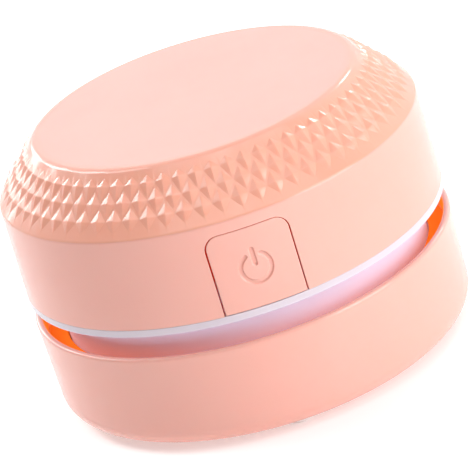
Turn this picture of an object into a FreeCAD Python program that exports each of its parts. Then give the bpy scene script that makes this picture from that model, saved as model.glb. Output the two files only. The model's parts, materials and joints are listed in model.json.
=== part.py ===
import FreeCAD, Part
import math
import os
import re
import Sketcher

# Desktop mini vacuum cleaner. Millimetres, +Z up. The origin is at the middle of the footprint,
# on the surface that the glide pads stand on. The front, with the power button, faces -Y.

doc = FreeCAD.newDocument("DeskVacuum")

# ---------------------------------------------------------------- driving sizes

sizeRows = [
    # outside of the object
    ("bodyRadius", 42.9, "outside of the white ring and of the cup's lip"),
    # dust cup
    ("glideHeight", 1.2, "glide pads, below the foot of the cup"),
    ("cupHeight", 20.0, "foot of the cup to its lip"),
    ("footDraft", 0.5, "how much narrower the cup is at its foot"),
    ("cupWall", 1.5, "wall at the lip"),
    ("footFillet", 4.0, "round edge at the foot"),
    ("lipFillet", 0.7, "round edges of the lip"),
    ("lipLand", 0.05, "least flat beside each round edge of the lip"),
    ("recessDepth", 2.0, "recess under the cup for the brush plate"),
    ("footBand", 9.4, "foot of the cup outside the recess"),
    ("cupFloor", 1.6, "floor of the cup"),
    ("dustWall", 2.6, "wall of the cup below the collar"),
    ("inletRadius", 8.0, "suction inlet"),
    ("tubeWall", 1.4, "wall of the inlet tube"),
    ("tubeHeight", 9.0, "inlet tube above the floor of the cup"),
    # lock collar and its quick thread
    ("collarSeatHeight", 8.0, "foot of the cup to the collar's ledge"),
    ("collarSeatWidth", 1.2, "width of the ledge under the collar"),
    ("collarHeight", 8.0, "lock collar"),
    ("collarLip", 1.0, "thickness of the collar's seat for the filter seal"),
    ("collarLipWidth", 2.4, "how far that seat reaches inwards"),
    ("skirtGap", 0.4, "running gap round the skirt"),
    ("threadLead", 54.0, "rise in one whole turn"),
    ("threadStarts", 3, "pins and channels"),
    ("pinRadius", 1.2, "lock pin"),
    ("pinReach", 2.0, "how far a pin stands out of the skirt"),
    ("pinRise", 1.5, "skirt's lower edge to the middle of a pin"),
    ("pinAngle", 3.5, "degrees from the channel's blind end to the pin"),
    ("channelDepthGap", 0.5, "gap between a pin's end and its channel"),
    ("channelSideGap", 0.5, "gap between a pin's side and its channel"),
    ("channelWall", 1.25, "wall of the collar outside a channel"),
    # brush plate
    ("brushPlate", 1.6, "thickness"),
    ("mouthFlare", 1.5, "flare of the inlet in the brush plate"),
    ("tuftInset", 5.0, "ring of tufts inside the edge of the recess"),
    ("tuftCount", 24, "tufts"),
    ("tuftRadius", 1.1, "tuft"),
    ("tuftSocket", 1.1, "depth of a tuft's socket"),
    ("tuftClear", 0.1, "bristle tips above the table"),
    ("glideRadius", 2.2, "glide pad"),
    ("glideCount", 4, "glide pads"),
    ("plateScrewInset", 8.0, "ring of plate screws inside the ring of tufts"),
    ("plateScrewCount", 3, "plate screws"),
    ("plateScrewRadius", 1.1, "shank"),
    ("plateScrewHead", 2.2, "head"),
    ("plateHeadHeight", 0.8, "head"),
    ("plateScrewDepth", 4.6, "shank above the underside of the cup's floor"),
    ("plateBossRadius", 2.8, "boss on the floor of the cup"),
    ("plateBossHeight", 4.2, "boss on the floor of the cup"),
    # fan housing
    ("gapHeight", 4.9, "open gap between the cup's lip and the white ring"),
    ("ringHeight", 1.5, "white ring"),
    ("skirtFlare", 0.7, "how much wider the skirt is under the ring"),
    ("skirtWall", 1.5, "wall of the skirt"),
    ("taperRise", 0.6, "straight stretch of the skirt above the collar"),
    ("webDrop", 2.2, "underside of the web, below the ring's underside"),
    ("webHeight", 1.4, "web"),
    ("eyeRadius", 13.0, "air eye in the web"),
    ("slotCount", 32, "exhaust slots"),
    ("slotLength", 2.0, "radial length of an exhaust slot"),
    ("slotWidth", 4.6, "width of an exhaust slot"),
    ("slotInset", 0.6, "skirt's top to the slots"),
    ("columnInset", 0.4, "screw columns inside the bore of the skirt"),
    ("columnRadius", 3.3, "screw column"),
    ("columnCount", 3, "screw columns"),
    ("headSink", 3.0, "depth of the counterbore for a screw's head"),
    # filter
    ("sealHeight", 0.9, "filter seal"),
    ("sealGap", 0.15, "seal above its seat"),
    ("sealWidth", 1.7, "filter seal"),
    ("flangeHeight", 1.0, "flange of the filter frame"),
    ("flangeGap", 0.3, "flange below the skirt"),
    ("frameGap", 0.3, "filter frame inside the skirt"),
    ("frameWall", 1.4, "wall of the filter frame"),
    ("frameTopGap", 0.4, "filter frame below the web"),
    ("grilleHeight", 1.0, "grille of the filter frame"),
    ("spokeWidth", 2.4, "spokes of the grille"),
    ("spokeCount", 6, "spokes"),
    ("hubRadius", 4.5, "hub of the grille"),
    ("padHeight", 4.0, "filter pad"),
    ("meshHeight", 0.3, "filter mesh"),
    ("retainerHeight", 1.2, "retainer ring"),
    ("retainerWidth", 2.2, "retainer ring"),
    # motor deck
    ("fanHeadGap", 0.1, "impeller below the heads of the motor screws"),
    ("deckHeight", 1.4, "motor deck"),
    ("deckGap", 0.2, "motor deck inside the barrel"),
    ("standoffHeight", 2.0, "standoffs under the board"),
    ("sleeveWall", 0.9, "rubber sleeve round the motor"),
    ("socketWall", 1.4, "motor socket on the deck"),
    ("socketHeight", 6.4, "motor socket on the deck"),
    # motor and impeller
    ("canRadius", 12.0, "motor can"),
    ("motorHeadroom", 0.65, "motor terminals below the cap"),
    ("canWall", 0.8, "motor can"),
    ("endCapHeight", 2.0, "motor end cap"),
    ("bushRadius", 3.0, "motor bushes"),
    ("bushDrop", 1.2, "lower bush below the can"),
    ("bushLength", 3.0, "lower bush"),
    ("bushGap", 0.03, "running fit of the shaft in its bushes"),
    ("shaftRadius", 1.0, "motor shaft"),
    ("magnetWall", 1.9, "magnets"),
    ("magnetOverhang", 1.0, "magnets past each end of the armature"),
    ("magnetAngle", 140.0, "degrees round each magnet"),
    ("airGap", 0.4, "armature inside the magnets"),
    ("brushSpace", 3.6, "armature below the end cap"),
    ("armatureRise", 3.4, "armature above the can's floor"),
    ("commutatorRadius", 2.6, "commutator"),
    ("commutatorLength", 2.4, "commutator"),
    ("motorScrewRadius", 1.0, "motor screw"),
    ("motorScrewCircle", 8.0, "motor screws"),
    ("motorHeadRadius", 1.9, "motor screw's head"),
    ("motorHeadHeight", 0.5, "motor screw's head"),
    ("terminalHeight", 1.4, "motor terminals"),
    ("terminalWidth", 2.4, "motor terminals"),
    ("terminalThickness", 0.5, "motor terminals"),
    ("terminalOffset", 7.5, "motor terminals, from the motor's axis"),
    ("terminalSpread", 3.0, "motor terminals, from the middle plane"),
    ("leadRadius", 0.6, "motor leads"),
    ("leadBend", 2.5, "bend of the motor leads"),
    ("leadLanding", 3.7, "motor leads on the board, from the edge of its hole"),
    ("fanClear", 4.2, "impeller inside the screw columns"),
    ("fanGap", 0.7, "impeller above the web"),
    ("bladeHeight", 4.6, "impeller blades"),
    ("bladeRoot", 11.0, "inner end of the blades"),
    ("bladeWall", 1.0, "blade"),
    ("bladeCount", 9, "blades"),
    ("bladeSweep", 5.0, "how far a blade's tip trails"),
    ("backPlate", 1.0, "back plate of the impeller"),
    ("fanHub", 3.6, "hub of the impeller"),
    # upper housing and cap
    ("housingHeight", 18.45, "barrel, from the white ring to the cap's seam"),
    ("barrelDraft", 0.4, "how much narrower the barrel is at the cap's seam"),
    ("housingWall", 1.8, "barrel wall"),
    ("bossClear", 1.65, "screw bosses in the barrel below the cap's plug rim"),
    ("bossRadius", 3.1, "screw bosses in the barrel"),
    ("ribWidth", 2.0, "ribs that tie the bosses to the wall"),
    ("bossRoof", 1.0, "housing screws' tips below the tops of the bosses"),
    ("screwRadius", 1.25, "housing screws"),
    ("screwHeadRadius", 2.2, "housing screws' heads"),
    ("screwHeadHeight", 1.8, "housing screws' heads"),
    ("capHeight", 10.4, "cap, above its seam"),
    ("capSlope", 9.9, "how much narrower the cap is at its flat top"),
    ("capWall", 1.8, "cap wall"),
    ("capFillet", 1.6, "round edge of the flat top"),
    ("plugClear", 0.25, "cap's plug rim above the notch for the button"),
    ("plugWall", 1.5, "cap's plug rim"),
    # power button and switch
    ("buttonWidth", 16.2, "power button"),
    ("buttonHeight", 15.8, "power button"),
    ("buttonGap", 0.2, "gap round the button"),
    ("buttonCorner", 2.7, "upper corners of the button"),
    ("buttonTravel", 0.8, "travel of the button"),
    ("flatGap", 0.3, "deck and board behind the pressed button"),
    ("lugWidth", 19.0, "button's stop flange behind the wall"),
    ("lugDrop", 1.4, "button's stop flange below its upper edge"),
    ("lugGap", 0.4, "stop flange behind the wall"),
    ("lugWall", 1.2, "stop flange"),
    ("stemRadius", 1.7, "button's stem"),
    ("plungerRadius", 1.5, "switch plunger"),
    ("plungerLength", 2.8, "switch plunger"),
    ("plungerGap", 0.1, "plunger in its bore"),
    ("stemTouch", 0.05, "stem in front of the plunger"),
    ("switchWidth", 6.0, "switch body"),
    ("switchDepth", 3.6, "switch body"),
    ("switchHeight", 3.6, "switch body"),
    ("switchSink", 1.0, "switch body behind the plunger's front end"),
    ("switchInset", 0.6, "switch body behind the board's front edge"),
    ("boreSpare", 0.4, "bore past the plunger's travel"),
    # board, socket and light
    ("boardHeight", 1.2, "control board"),
    ("boardGap", 2.3, "control board inside the barrel"),
    ("boardHoleGap", 0.5, "board round the motor socket"),
    ("usbWidth", 9.0, "charging socket"),
    ("usbHeight", 3.3, "charging socket"),
    ("usbDepth", 7.4, "charging socket"),
    ("usbWall", 0.3, "charging socket"),
    ("usbSink", 0.7, "socket's mouth behind the outside of the barrel"),
    ("usbGap", 0.35, "barrel round the socket"),
    ("usbCorner", 1.2, "socket's corners"),
    ("tongueWidth", 6.7, "charging socket's tongue"),
    ("tongueHeight", 0.7, "charging socket's tongue"),
    ("tongueSink", 1.2, "tongue behind the mouth"),
    ("ledWidth", 1.8, "status light"),
    ("ledDepth", 1.2, "status light"),
    ("ledHeight", 0.8, "status light"),
    ("ledOffset", 8.0, "status light beside the socket"),
    ("ledInset", 2.9, "status light inside the board's edge"),
    ("partInset", 11.4, "charger chip and inductor inside the board's edge"),
    ("chipY", -8.0, "charger chip"),
    ("chipWidth", 4.0, "charger chip"),
    ("chipLength", 5.0, "charger chip"),
    ("chipHeight", 1.5, "charger chip"),
    ("coilY", 8.0, "inductor"),
    ("coilRadius", 3.0, "inductor"),
    ("coilHeight", 3.2, "inductor"),
    # battery
    ("cellRadius", 7.0, "battery cell"),
    ("cellGap", 0.4, "battery cell beside the motor socket"),
    ("cellEndGap", 1.75, "ends of the cell short of the cap's slope and of the bosses"),
    ("cradleFloor", 1.2, "cradle under the cell"),
    ("cradleHeight", 4.0, "cradle"),
    ("cradleWidth", 13.0, "cradle"),
    ("cradleInset", 1.5, "cradle inside each end of the cell"),
    ("tabThickness", 0.3, "solder tabs"),
    ("tabWidth", 4.0, "solder tabs"),
    ("tabOverlap", 1.0, "solder tabs above the cell's axis"),
    # fits
    ("seatGap", 0.05, "glued and pressed seats"),
]

sheet = doc.addObject("Spreadsheet::Sheet", "Sizes")
for number, (alias, size, note) in enumerate(sizeRows, 1):
    sheet.set(f"A{number}", note)
    sheet.set(f"B{number}", str(size))
    sheet.setAlias(f"B{number}", alias)

# ---------------------------------------------------------------- levels and radii that follow

levelRows = [
    ("cupBase", "glideHeight"),
    ("cupRimRadius", "bodyRadius"),
    ("cupFootRadius", "bodyRadius - footDraft"),
    ("recessRadius", "cupFootRadius - footBand"),
    ("dustRadius", "cupFootRadius - dustWall"),
    ("tuftCircle", "recessRadius - tuftInset"),
    ("plateScrewCircle", "tuftCircle - plateScrewInset"),
    ("glideCircle", "(recessRadius + cupFootRadius - footFillet) / 2"),
    ("recessTop", "cupBase + recessDepth"),
    ("floorTop", "recessTop + cupFloor"),
    ("lipRound", "min(lipFillet; cupWall / 2 - lipLand)"),
    ("tubeTop", "floorTop + tubeHeight"),
    ("tubeRadius", "inletRadius + tubeWall"),
    ("cupRim", "cupBase + cupHeight"),
    ("collarSeat", "cupBase + collarSeatHeight"),
    ("collarTop", "collarSeat + collarHeight"),
    ("collarSeatRadius", "dustRadius + collarSeatWidth"),
    ("collarRadius", "collarSeatRadius - seatGap"),
    ("channelRadius", "collarRadius - channelWall"),
    ("pinEnd", "channelRadius - channelDepthGap"),
    ("skirtRadius", "pinEnd - pinReach"),
    ("collarBore", "skirtRadius + skirtGap"),
    ("collarLipTop", "collarSeat + collarLip"),
    ("sealBottom", "collarLipTop + sealGap"),
    ("sealTop", "sealBottom + sealHeight"),
    ("flangeTop", "sealTop + flangeHeight"),
    ("skirtBottom", "flangeTop + flangeGap"),
    ("pinLevel", "skirtBottom + pinRise"),
    ("channelHalf", "pinRadius + channelSideGap"),
    ("channelStart", "pinLevel - threadLead * pinAngle / 360"),
    ("ringRadius", "bodyRadius"),
    ("ringBottom", "cupRim + gapHeight"),
    ("ringTop", "ringBottom + ringHeight"),
    ("webBottom", "ringBottom - webDrop"),
    ("webTop", "webBottom + webHeight"),
    ("skirtTopRadius", "skirtRadius + skirtFlare"),
    ("taperBottom", "collarTop + taperRise"),
    ("skirtBore", "skirtRadius - skirtWall"),
    ("columnCircle", "skirtBore - columnRadius - columnInset"),
    ("frameRadius", "skirtBore - frameGap"),
    ("frameBore", "frameRadius - frameWall"),
    ("frameTop", "webBottom - frameTopGap"),
    ("grilleBottom", "frameTop - grilleHeight"),
    ("padBottom", "grilleBottom - padHeight"),
    ("meshBottom", "padBottom - meshHeight"),
    ("retainerBottom", "meshBottom - retainerHeight"),
    ("plateBottom", "recessTop - brushPlate"),
    ("socketTuftTop", "plateBottom + tuftSocket"),
    ("plateHeadTop", "plateBottom + plateHeadHeight"),
    ("fanRadius", "columnCircle - columnRadius - fanClear"),
    ("fanBottom", "webTop + fanGap"),
    ("bladeTop", "fanBottom + bladeHeight"),
    ("fanTop", "bladeTop + backPlate"),
    ("seamRadius", "ringRadius - barrelDraft"),
    ("seamLevel", "ringTop + housingHeight"),
    ("capTopRadius", "seamRadius - capSlope"),
    ("capTop", "seamLevel + capHeight"),
    ("capCeiling", "capTop - capWall"),
    ("housingBoreFoot", "ringRadius - housingWall"),
    ("housingBoreSeam", "seamRadius - housingWall"),
    ("deckBottom", "fanTop + fanHeadGap + motorHeadHeight"),
    ("deckTop", "deckBottom + deckHeight"),
    ("deckRadius", "housingBoreSeam - deckGap"),
    ("boardRadius", "housingBoreSeam - boardGap"),
    ("boardBottom", "deckTop + standoffHeight"),
    ("boardTop", "boardBottom + boardHeight"),
    ("socketBore", "canRadius + sleeveWall"),
    ("socketRadius", "socketBore + socketWall"),
    ("endCapTop", "capCeiling - motorHeadroom - terminalHeight"),
    ("canTop", "endCapTop - endCapHeight"),
    ("bushBottom", "deckTop - bushDrop"),
    ("bushBore", "shaftRadius + bushGap"),
    ("magnetRadius", "canRadius - canWall"),
    ("armatureRadius", "magnetRadius - magnetWall - airGap"),
    ("armatureBottom", "deckTop + armatureRise"),
    ("armatureTop", "canTop - brushSpace"),
    ("leadReach", "socketRadius + boardHoleGap + leadLanding"),
    ("plugRadius", "housingBoreSeam - seatGap"),
    ("headLevel", "webBottom + headSink"),
    ("barrelTaper", "(ringRadius - seamRadius) / housingHeight"),
    ("buttonBottom", "ringTop + buttonGap"),
    ("buttonTop", "buttonBottom + buttonHeight"),
    ("notchTop", "buttonTop + buttonGap"),
    ("plugBottom", "notchTop + plugClear"),
    ("bossTop", "plugBottom - bossClear"),
    ("screwTip", "bossTop - bossRoof"),
    ("buttonFootRadius", "ringRadius - barrelTaper * buttonGap"),
    ("buttonHeadRadius", "ringRadius - barrelTaper * (buttonTop - ringTop)"),
    ("lugTop", "buttonTop - lugDrop"),
    ("lugBottom", "deckTop + buttonGap"),
    ("lugRadius", "housingBoreSeam - lugGap"),
    ("lugBore", "lugRadius - lugWall"),
    ("deckFlat", "sqrt(housingBoreFoot ^ 2 - buttonWidth ^ 2 / 4) - buttonTravel - flatGap"),
    ("boardFlat", "sqrt(lugBore ^ 2 - lugWidth ^ 2 / 4) - buttonTravel - flatGap"),
    ("plungerRest", "boardFlat - switchInset + switchSink"),
    ("plungerLevel", "boardTop + switchHeight / 2"),
    ("usbMouth", "ringRadius - usbSink"),
    ("usbLevel", "boardTop + usbHeight / 2"),
    ("ledCircle", "boardRadius - ledInset"),
    ("partReach", "boardRadius - partInset"),
    ("cellLevel", "boardTop + cradleFloor + cellRadius"),
    ("cellOffset", "socketRadius + cellGap + cellRadius"),
    ("capBoreSlope", "(plugRadius - plugWall - capTopRadius + capWall) / (capCeiling - seamLevel)"),
    ("shoulderLevel", "cellLevel + cellRadius * sin(60)"),
    ("shoulderBore", "capTopRadius - capWall + (capCeiling - shoulderLevel) * capBoreSlope"),
    ("slopeReach", "sqrt(shoulderBore ^ 2 - (cellOffset + cellRadius / 2) ^ 2)"),
    ("bossReach", "columnCircle * sin(60) - bossRadius"),
    ("cellReach", "min(slopeReach; bossReach) - cellEndGap"),
]

levels = doc.addObject("App::VarSet", "Levels")
aliases = {row[0] for row in sizeRows}
levelNames = {row[0] for row in levelRows}


def formula(text):
    """An expression in which each plain name points at its cell of the sheet or at its level."""

    def prefixed(word):
        name = word.group()
        if name in aliases:
            return "Sizes." + name
        if name in levelNames:
            return "Levels." + name
        return name

    return re.sub(r"[A-Za-z]\w*", prefixed, text)


for name, text in levelRows:
    levels.addProperty("App::PropertyFloat", name)
    levels.setExpression(name, formula(text))
doc.recompute()

# ---------------------------------------------------------------- helpers

Z = FreeCAD.Vector(0, 0, 1)
nodes = []


def keep(feature, label):
    """Name a finished sub-part and add it to the pieces that are written."""
    feature.Label = label
    nodes.append(feature)
    return feature


def newBody(label):
    """A PartDesign body that may hold several separate solids."""
    body = doc.addObject("PartDesign::Body", label)
    body.AllowCompound = True
    return keep(body, label)


def origin(body, role):
    """One of the body's own origin planes or axes."""
    return next(part for part in body.Origin.OriginFeatures if part.Role == role)


def newSketch(body, role, level=None):
    """A sketch on an origin plane of the body, moved along the plane's normal by a formula."""
    sketch = body.newObject("Sketcher::SketchObject", body.Label + "Sketch")
    sketch.AttachmentSupport = [(origin(body, role), "")]
    sketch.MapMode = "FlatFace"
    if level:
        sketch.setExpression("AttachmentOffset.Base.z", formula(level))
    return sketch


def fix(sketch, kind, item, point, text):
    """Set a point's distance from the sketch's origin along one axis, by a formula."""
    if text == "0":
        line = -2 if kind == "DistanceX" else -1
        sketch.addConstraint(Sketcher.Constraint("PointOnObject", item, point, line))
        return
    number = sketch.addConstraint(Sketcher.Constraint(kind, -1, 1, item, point, 1.0))
    sketch.setExpression(f"Constraints[{number}]", formula(text))


def outline(sketch, corners):
    """A closed outline of straight lines, with a pair of formulas for each corner."""
    first = sketch.GeometryCount
    count = len(corners)
    turn = 2 * math.pi / count
    ring = [FreeCAD.Vector(math.cos(step * turn), math.sin(step * turn), 0) for step in range(count)]
    for step in range(count):
        sketch.addGeometry(Part.LineSegment(ring[step], ring[(step + 1) % count]))
    for step in range(count):
        following = first + (step + 1) % count
        sketch.addConstraint(Sketcher.Constraint("Coincident", first + step, 2, following, 1))
    for step, (across, along) in enumerate(corners):
        fix(sketch, "DistanceX", first + step, 1, across)
        fix(sketch, "DistanceY", first + step, 1, along)
    return sketch


def box(sketch, left, right, low, high):
    """A rectangle between four formulas."""
    return outline(sketch, [(left, low), (right, low), (right, high), (left, high)])


def circle(sketch, across, along, radius):
    """A circle with formulas for its centre and radius."""
    item = sketch.addGeometry(Part.Circle(FreeCAD.Vector(1, 1, 0), Z, 1.0))
    fix(sketch, "DistanceX", item, 3, across)
    fix(sketch, "DistanceY", item, 3, along)
    number = sketch.addConstraint(Sketcher.Constraint("Radius", item, 1.0))
    sketch.setExpression(f"Constraints[{number}]", formula(radius))
    return sketch


def revolve(body, corners, angle=None, role="XZ_Plane"):
    """Turn an outline, given as radius and level, about the vertical axis."""
    sketch = outline(newSketch(body, role), corners)
    feature = body.newObject("PartDesign::Revolution", body.Label + "Revolve")
    feature.Profile = sketch
    feature.ReferenceAxis = (sketch, ["V_Axis"])
    feature.Angle = 360
    if angle:
        feature.Midplane = True
        feature.setExpression("Angle", formula(angle))
    return feature


def pad(body, sketch, length, middle=False, flipped=False):
    """Grow a sketch along its normal."""
    feature = body.newObject("PartDesign::Pad", body.Label + "Pad")
    feature.Profile = sketch
    feature.Midplane = middle
    feature.Reversed = flipped
    feature.setExpression("Length", formula(length))
    return feature


def cut(body, sketch, length, middle=False, flipped=True):
    """Cut a sketch out of the body, along the sketch's normal unless flipped is False."""
    feature = body.newObject("PartDesign::Pocket", body.Label + "Cut")
    feature.Profile = sketch
    feature.Midplane = middle
    feature.Reversed = flipped
    feature.setExpression("Length", formula(length))
    return feature


def ringOf(body, features, count):
    """Repeat features evenly about the vertical axis."""
    pattern = body.newObject("PartDesign::PolarPattern", body.Label + "Ring")
    pattern.Originals = features
    pattern.Axis = (origin(body, "Z_Axis"), [""])
    pattern.Angle = 360
    pattern.setExpression("Occurrences", formula(count))
    body.Tip = pattern
    return pattern


def rounded(body, picked, radius):
    """Round the edges of the body's last feature that the test picks."""
    doc.recompute()
    base = body.Tip
    names = [f"Edge{number}" for number, edge in enumerate(base.Shape.Edges, 1) if picked(edge)]
    feature = body.newObject("PartDesign::Fillet", body.Label + "Round")
    feature.Base = (base, names)
    feature.setExpression("Radius", formula(radius))
    return feature


def isCircle(edge, radius, level):
    """True for a whole circle about the vertical axis, of this radius and at this level."""
    curve = edge.Curve
    if not isinstance(curve, Part.Circle) or not edge.isClosed():
        return False
    return abs(curve.Radius - radius) < 0.001 and abs(curve.Center.z - level) < 0.001


def isDeepCorner(edge, across, level):
    """True for a straight edge along Y at this distance from the middle plane and this level."""
    if len(edge.Vertexes) != 2:
        return False
    start = edge.Vertexes[0].Point
    end = edge.Vertexes[1].Point
    along = abs(start.x - end.x) < 0.001 and abs(start.z - end.z) < 0.001
    return along and abs(abs(start.x) - across) < 0.001 and abs(start.z - level) < 0.001


def disc(body, level, across, radius):
    """A level sketch of one circle, with its centre above the X axis."""
    return circle(newSketch(body, "XY_Plane", level), across, "0", radius)


def postRing(body, circleRadius, radius, bottom, height, count):
    """A ring of upright round posts."""
    return ringOf(body, [pad(body, disc(body, bottom, circleRadius, radius), height)], count)


# ---------------------------------------------------------------- dust cup and underside


def makeDustCup():
    body = newBody("dust_cup")
    revolve(body, [
        ("tubeRadius + seatGap", "recessTop"),
        ("recessRadius", "recessTop"),
        ("recessRadius", "cupBase"),
        ("cupFootRadius", "cupBase"),
        ("cupRimRadius", "cupRim"),
        ("cupRimRadius - cupWall", "cupRim"),
        ("collarSeatRadius", "collarTop"),
        ("collarSeatRadius", "collarSeat"),
        ("dustRadius", "collarSeat"),
        ("dustRadius", "floorTop"),
        ("tubeRadius + seatGap", "floorTop"),
    ])
    innerLip = levels.cupRimRadius - sheet.cupWall
    rounded(body, lambda edge: isCircle(edge, levels.cupFootRadius, levels.cupBase), "footFillet")
    rounded(body, lambda edge: isCircle(edge, levels.cupRimRadius, levels.cupRim), "lipRound")
    rounded(body, lambda edge: isCircle(edge, innerLip, levels.cupRim), "lipRound")
    bossSketch = disc(body, "floorTop", "plateScrewCircle", "plateBossRadius")
    boss = pad(body, bossSketch, "plateBossHeight")
    holeSketch = disc(body, "recessTop", "plateScrewCircle", "plateScrewRadius")
    hole = cut(body, holeSketch, "plateScrewDepth")
    ringOf(body, [boss, hole], "plateScrewCount")


def makeLockCollar():
    # Each channel starts at a blind end, a little behind its pin, and climbs out of the collar's top.
    body = newBody("lock_collar")
    revolve(body, [
        ("collarBore - collarLipWidth", "collarSeat"),
        ("collarRadius", "collarSeat"),
        ("collarRadius", "collarTop"),
        ("collarBore", "collarTop"),
        ("collarBore", "collarLipTop"),
        ("collarBore - collarLipWidth", "collarLipTop"),
    ])
    sketch = newSketch(body, "XZ_Plane")
    low = "channelStart - channelHalf"
    box(sketch, "collarBore - skirtGap", "channelRadius", low, "channelStart + channelHalf")
    doc.recompute()
    channel = body.newObject("PartDesign::SubtractiveHelix", "lockChannel")
    channel.Profile = sketch
    channel.ReferenceAxis = (sketch, ["V_Axis"])
    channel.Mode = "pitch-height-angle"
    channel.LeftHanded = False
    channel.Reversed = False
    channel.setExpression("Pitch", formula("threadLead"))
    channel.setExpression("Height", formula("collarTop - channelStart + channelHalf * 1.5"))
    ringOf(body, [channel], "threadStarts")
    body.Placement.Rotation = FreeCAD.Rotation(Z, 1)
    body.setExpression("Placement.Rotation.Angle", formula("360 - pinAngle"))


def makeBrushPlate():
    body = newBody("brush_plate")
    revolve(body, [
        ("inletRadius", "recessTop"),
        ("recessRadius - seatGap", "recessTop"),
        ("recessRadius - seatGap", "plateBottom"),
        ("inletRadius + mouthFlare", "plateBottom"),
    ])
    socketSketch = disc(body, "plateBottom", "tuftCircle", "tuftRadius")
    ringOf(body, [cut(body, socketSketch, "tuftSocket")], "tuftCount")
    headSketch = disc(body, "plateBottom", "plateScrewCircle", "plateScrewHead")
    head = cut(body, headSketch, "plateHeadHeight")
    shankSketch = disc(body, "plateBottom", "plateScrewCircle", "plateScrewRadius")
    ringOf(body, [head, cut(body, shankSketch, "brushPlate")], "plateScrewCount")


def makeBrushTufts():
    body = newBody("brush_tufts")
    postRing(body, "tuftCircle", "tuftRadius", "tuftClear", "socketTuftTop - tuftClear", "tuftCount")


def makeGlidePads():
    body = newBody("glide_pads")
    postRing(body, "glideCircle", "glideRadius", "0", "glideHeight", "glideCount")


def makePlateScrews():
    body = newBody("plate_screws")
    headSketch = disc(body, "plateBottom", "plateScrewCircle", "plateScrewHead")
    head = pad(body, headSketch, "plateHeadHeight")
    shankSketch = disc(body, "plateHeadTop", "plateScrewCircle", "plateScrewRadius")
    shank = pad(body, shankSketch, "recessTop + plateScrewDepth - plateHeadTop")
    ringOf(body, [head, shank], "plateScrewCount")


# ---------------------------------------------------------------- filter unit


def makeFilterFrame():
    body = newBody("filter_frame")
    revolve(body, [
        ("frameBore", "sealTop"),
        ("skirtRadius", "sealTop"),
        ("skirtRadius", "flangeTop"),
        ("frameRadius", "flangeTop"),
        ("frameRadius", "frameTop"),
        ("frameBore", "frameTop"),
    ])
    hubSketch = disc(body, "grilleBottom", "0", "hubRadius")
    pad(body, hubSketch, "grilleHeight")
    spokeSketch = newSketch(body, "XY_Plane", "grilleBottom")
    box(spokeSketch, "hubRadius / 2", "frameBore + frameWall / 2", "-spokeWidth / 2", "spokeWidth / 2")
    ringOf(body, [pad(body, spokeSketch, "grilleHeight")], "spokeCount")


def makeFilterDisc(label, bottom, height):
    body = newBody(label)
    sketch = disc(body, bottom, "0", "frameBore - seatGap")
    pad(body, sketch, height)


def makeRing(label, inner, outer, bottom, top):
    body = newBody(label)
    revolve(body, [(inner, bottom), (outer, bottom), (outer, top), (inner, top)])
    return body


# ---------------------------------------------------------------- fan housing


def makeFanHousing():
    body = newBody("fan_housing")
    revolve(body, [
        ("eyeRadius", "webBottom"),
        ("skirtBore", "webBottom"),
        ("skirtBore", "skirtBottom"),
        ("skirtRadius", "skirtBottom"),
        ("skirtRadius", "taperBottom"),
        ("skirtTopRadius", "ringBottom"),
        ("ringRadius", "ringBottom"),
        ("ringRadius", "ringTop"),
        ("skirtTopRadius - skirtWall", "ringTop"),
        ("skirtTopRadius - skirtWall", "webTop"),
        ("eyeRadius", "webTop"),
    ])
    slotSketch = newSketch(body, "XY_Plane", "ringBottom")
    slotStart = "skirtTopRadius + slotInset"
    box(slotSketch, slotStart, slotStart + " + slotLength", "-slotWidth / 2", "slotWidth / 2")
    ringOf(body, [cut(body, slotSketch, "ringHeight")], "slotCount")
    columnSketch = disc(body, "webTop", "-columnCircle", "columnRadius")
    column = pad(body, columnSketch, "deckBottom - webTop")
    sinkSketch = disc(body, "webBottom", "-columnCircle", "screwHeadRadius + seatGap")
    sink = cut(body, sinkSketch, "headSink")
    boreSketch = disc(body, "webBottom", "-columnCircle", "screwRadius + seatGap")
    ringOf(body, [column, sink, cut(body, boreSketch, "deckBottom - webBottom")], "columnCount")
    pinSketch = newSketch(body, "YZ_Plane", "skirtRadius - skirtWall / 2")
    circle(pinSketch, "0", "pinLevel", "pinRadius")
    ringOf(body, [pad(body, pinSketch, "skirtWall / 2 + pinReach")], "threadStarts")


# ---------------------------------------------------------------- motor deck, motor and impeller


def makeMotorDeck():
    body = newBody("motor_deck")
    revolve(body, [
        ("bushRadius + seatGap", "deckBottom"),
        ("deckRadius", "deckBottom"),
        ("deckRadius", "deckTop"),
        ("socketRadius", "deckTop"),
        ("socketRadius", "deckTop + socketHeight"),
        ("socketBore", "deckTop + socketHeight"),
        ("socketBore", "deckTop"),
        ("bushRadius + seatGap", "deckTop"),
    ])
    frontSketch = newSketch(body, "XY_Plane", "deckBottom")
    box(frontSketch, "-deckRadius", "deckRadius", "-ringRadius", "-deckFlat")
    cut(body, frontSketch, "deckHeight")
    standSketch = disc(body, "deckTop", "-columnCircle", "columnRadius")
    stand = pad(body, standSketch, "standoffHeight")
    boreSketch = disc(body, "deckBottom", "-columnCircle", "screwRadius + seatGap")
    ringOf(body, [stand, cut(body, boreSketch, "deckHeight + standoffHeight")], "columnCount")
    screwSketch = newSketch(body, "XY_Plane", "deckBottom")
    circle(screwSketch, "0", "motorScrewCircle", "motorScrewRadius")
    circle(screwSketch, "0", "-motorScrewCircle", "motorScrewRadius")
    cut(body, screwSketch, "deckHeight")


def makeMotorCan():
    body = newBody("motor_can")
    revolve(body, [
        ("bushRadius", "deckTop"),
        ("canRadius", "deckTop"),
        ("canRadius", "canTop"),
        ("magnetRadius", "canTop"),
        ("magnetRadius", "deckTop + canWall"),
        ("bushRadius", "deckTop + canWall"),
    ])
    screwSketch = newSketch(body, "XY_Plane", "deckTop")
    circle(screwSketch, "0", "motorScrewCircle", "motorScrewRadius")
    circle(screwSketch, "0", "-motorScrewCircle", "motorScrewRadius")
    cut(body, screwSketch, "canWall")


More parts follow.
